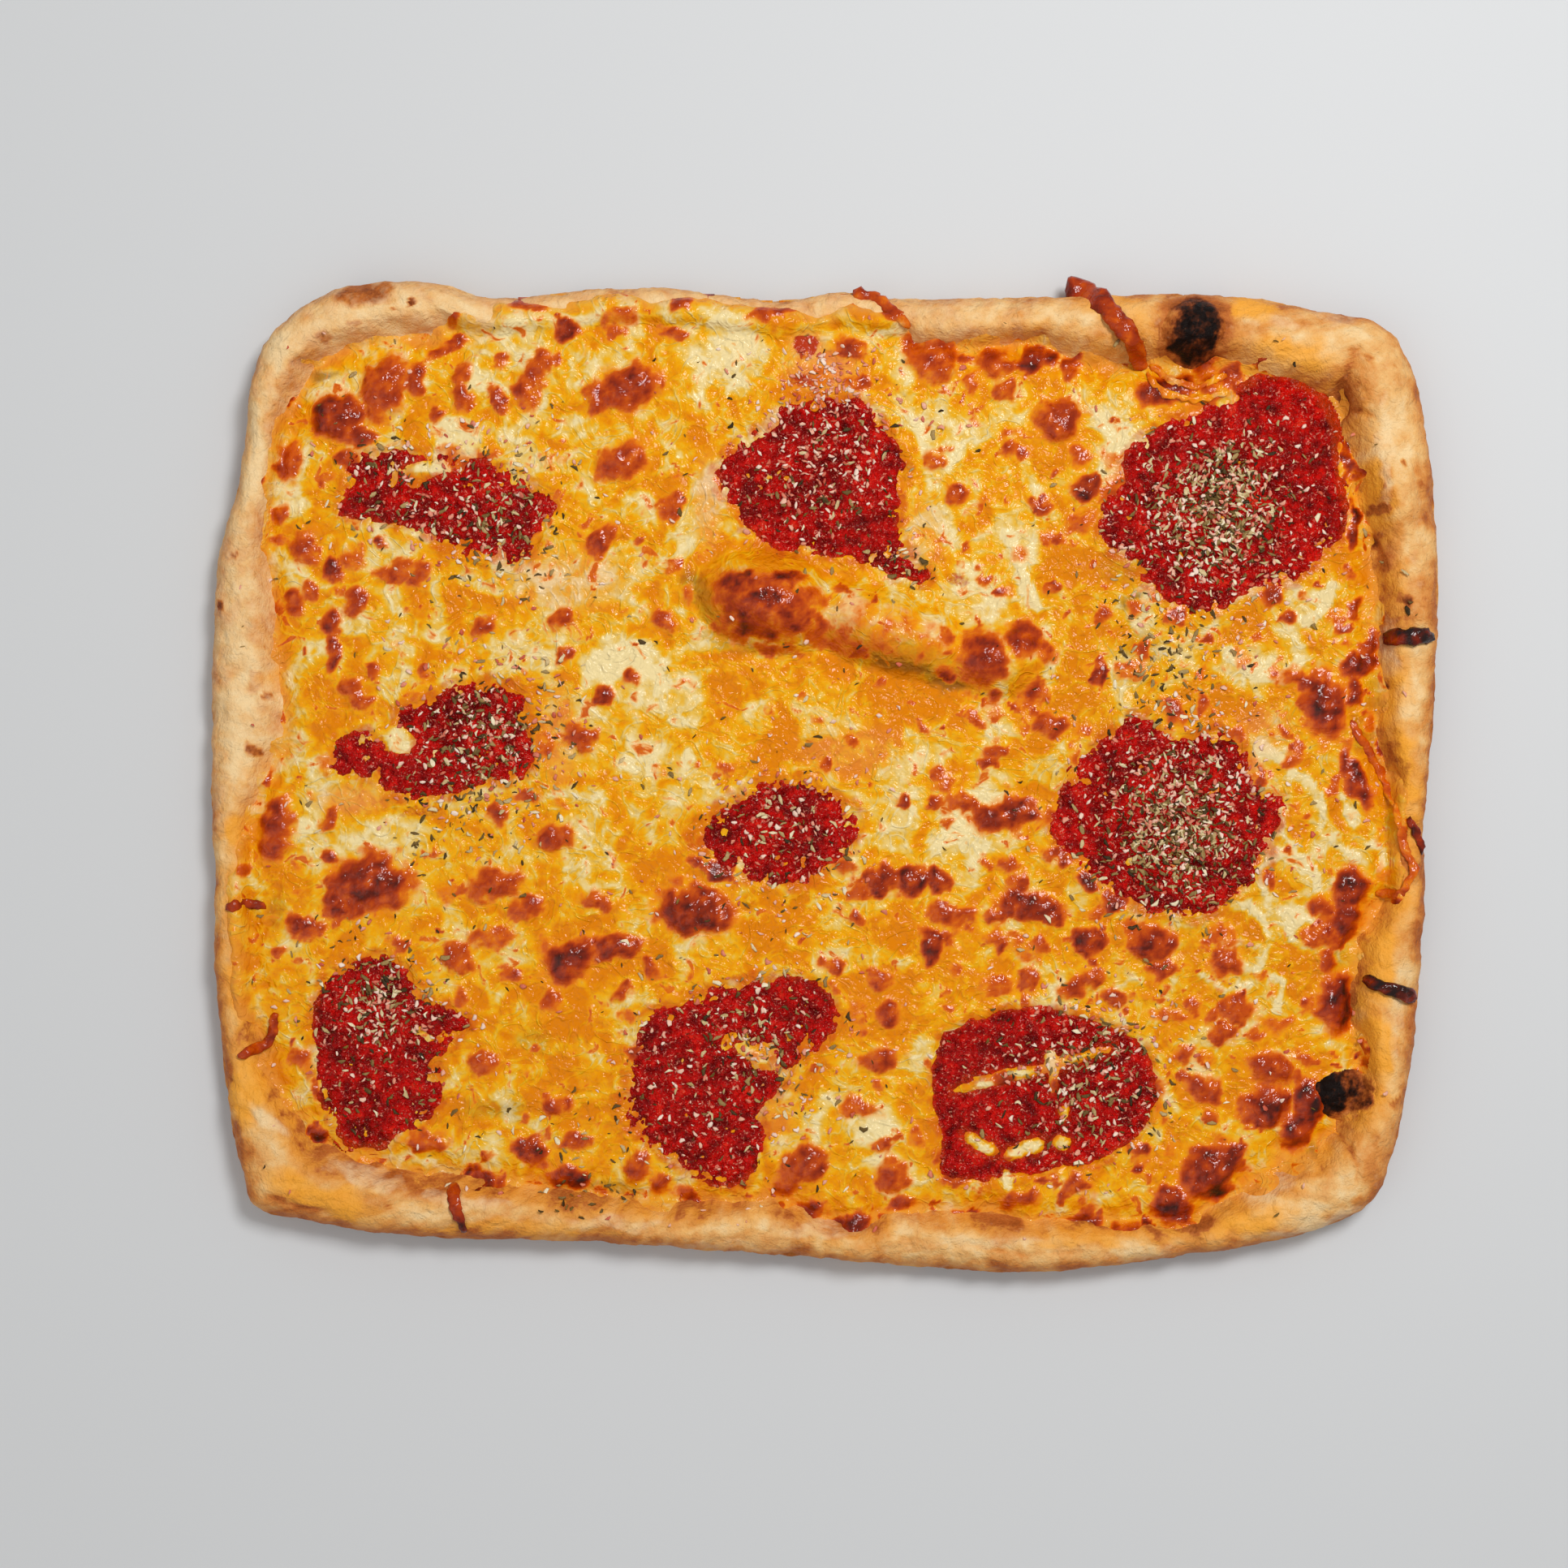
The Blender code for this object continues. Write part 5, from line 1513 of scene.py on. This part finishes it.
def sauce_finish():
    """Wet red pulp, thinner and more orange at the edge, with specks of herb and cheese in it; the pale
    specks are also painted glints.
    """
    finish = Finish("wet_tomato_pulp")
    pulp = finish.varied(finish.attribute("pulp"), 1.2, 12 * MM, 3, 0.8)
    pulp = finish.varied(pulp, 0.7, 2.4 * MM, 4, 0.8)
    thin = finish.sum(finish.attribute("thin"), finish.mottle(2 * MM, 4), 0.7, -0.4)
    colour = finish.ramp(pulp, SAUCE_STOPS)
    colour = finish.tinted(colour, THIN_SAUCE, thin, 0.8, 0.2, 1)
    colour = finish.tinted(colour, HERB_SPECK, finish.mottle(0.9 * MM, 3, 0.6), 0.75, 0.62, 0.7)
    # Pale pinkish specks: partly grated cheese, partly painted glints
    colour = finish.tinted(colour, CHEESE_SPECK_AND_GLINT, finish.mottle(1 * MM, 2, 0.8), 0.7, 0.62, 0.68)
    pulpy = finish.mottle(1.3 * MM, 1, 1.2)
    return finish.finished(colour, roughness=0.07, shine=0.17, height=pulpy, distance=1.5 * MM)


def flake_finish(name, stops, roughness):
    """Each flake has its own shade, a little mottled."""
    finish = Finish(name)
    shade = finish.varied(finish.attribute("shade"), 0.3, 0.5 * MM, 2)
    grain = finish.mottle(0.3 * MM, 3)
    return finish.finished(finish.ramp(shade, stops), roughness, 0.2, grain, 0.2 * MM)


def make_floor():
    finish = Finish("pale_floor")
    finish.feed(finish.shader.inputs["Base Color"], PALE_FLOOR)
    finish.feed(finish.shader.inputs["Roughness"], 0.6)
    shape = bmesh.new()
    bmesh.ops.create_grid(shape, x_segments=1, y_segments=1, size=FLOOR_SIZE)
    floor = linked("floor", shape, finish.material)
    floor.location.z = -FLOOR_GAP


def make_lights():
    """Soft light from the upper right, a weak fill from the other side and a pale sky."""
    for name, (spot, size, watts) in LAMPS.items():
        lamp = bpy.data.lights.new(name, "AREA")
        lamp.size = size
        lamp.energy = watts
        light = bpy.data.objects.new(name, lamp)
        light.location = spot
        light.rotation_euler = (-light.location).to_track_quat("-Z", "Y").to_euler()
        bpy.context.scene.collection.objects.link(light)
    world = bpy.data.worlds.new("studio")
    world.use_nodes = True
    sky = world.node_tree.nodes["Background"].inputs
    sky["Color"].default_value = SKY
    sky["Strength"].default_value = SKY_STRENGTH
    bpy.context.scene.world = world


def make_camera():
    """The camera straight overhead, as far up as its lens needs for the whole view."""
    lens = bpy.data.cameras.new("overhead")
    lens.lens = LENS
    lens.sensor_width = SENSOR
    camera = bpy.data.objects.new("overhead", lens)
    distance = VIEW_PIXELS * PIXEL * LENS / SENSOR
    camera.location = (*place(VIEW_MIDDLE), FOCUS_HEIGHT + distance)
    bpy.context.scene.collection.objects.link(camera)
    bpy.context.scene.camera = camera
    bpy.context.scene.view_settings.view_transform = "Standard"


EDGE = smooth_loop(OUTLINE, EDGE_STEP)
EDGE_LENGTH = np.hypot(*(EDGE - np.roll(EDGE, 1, axis=0)).T).sum()
SAUCE_LOOPS = {name: smooth_loop(pixels, POOL_STEP) for name, pixels in SAUCES.items()}
SMALL_SPOTS = small_spots()
MOTTLE = mottle_group()

make_floor()
make_lights()
make_camera()
baked_dough = dough_finish()
make_crust(baked_dough)
make_bubbles(baked_dough)
melted_cheese = cheese_finish()
make_cheese(melted_cheese)
make_strings(melted_cheese)
make_sauces(sauce_finish())
flake_dice = random.Random(7)
for flake_kind in FLAKES:
    make_flakes(flake_kind, flake_dice)
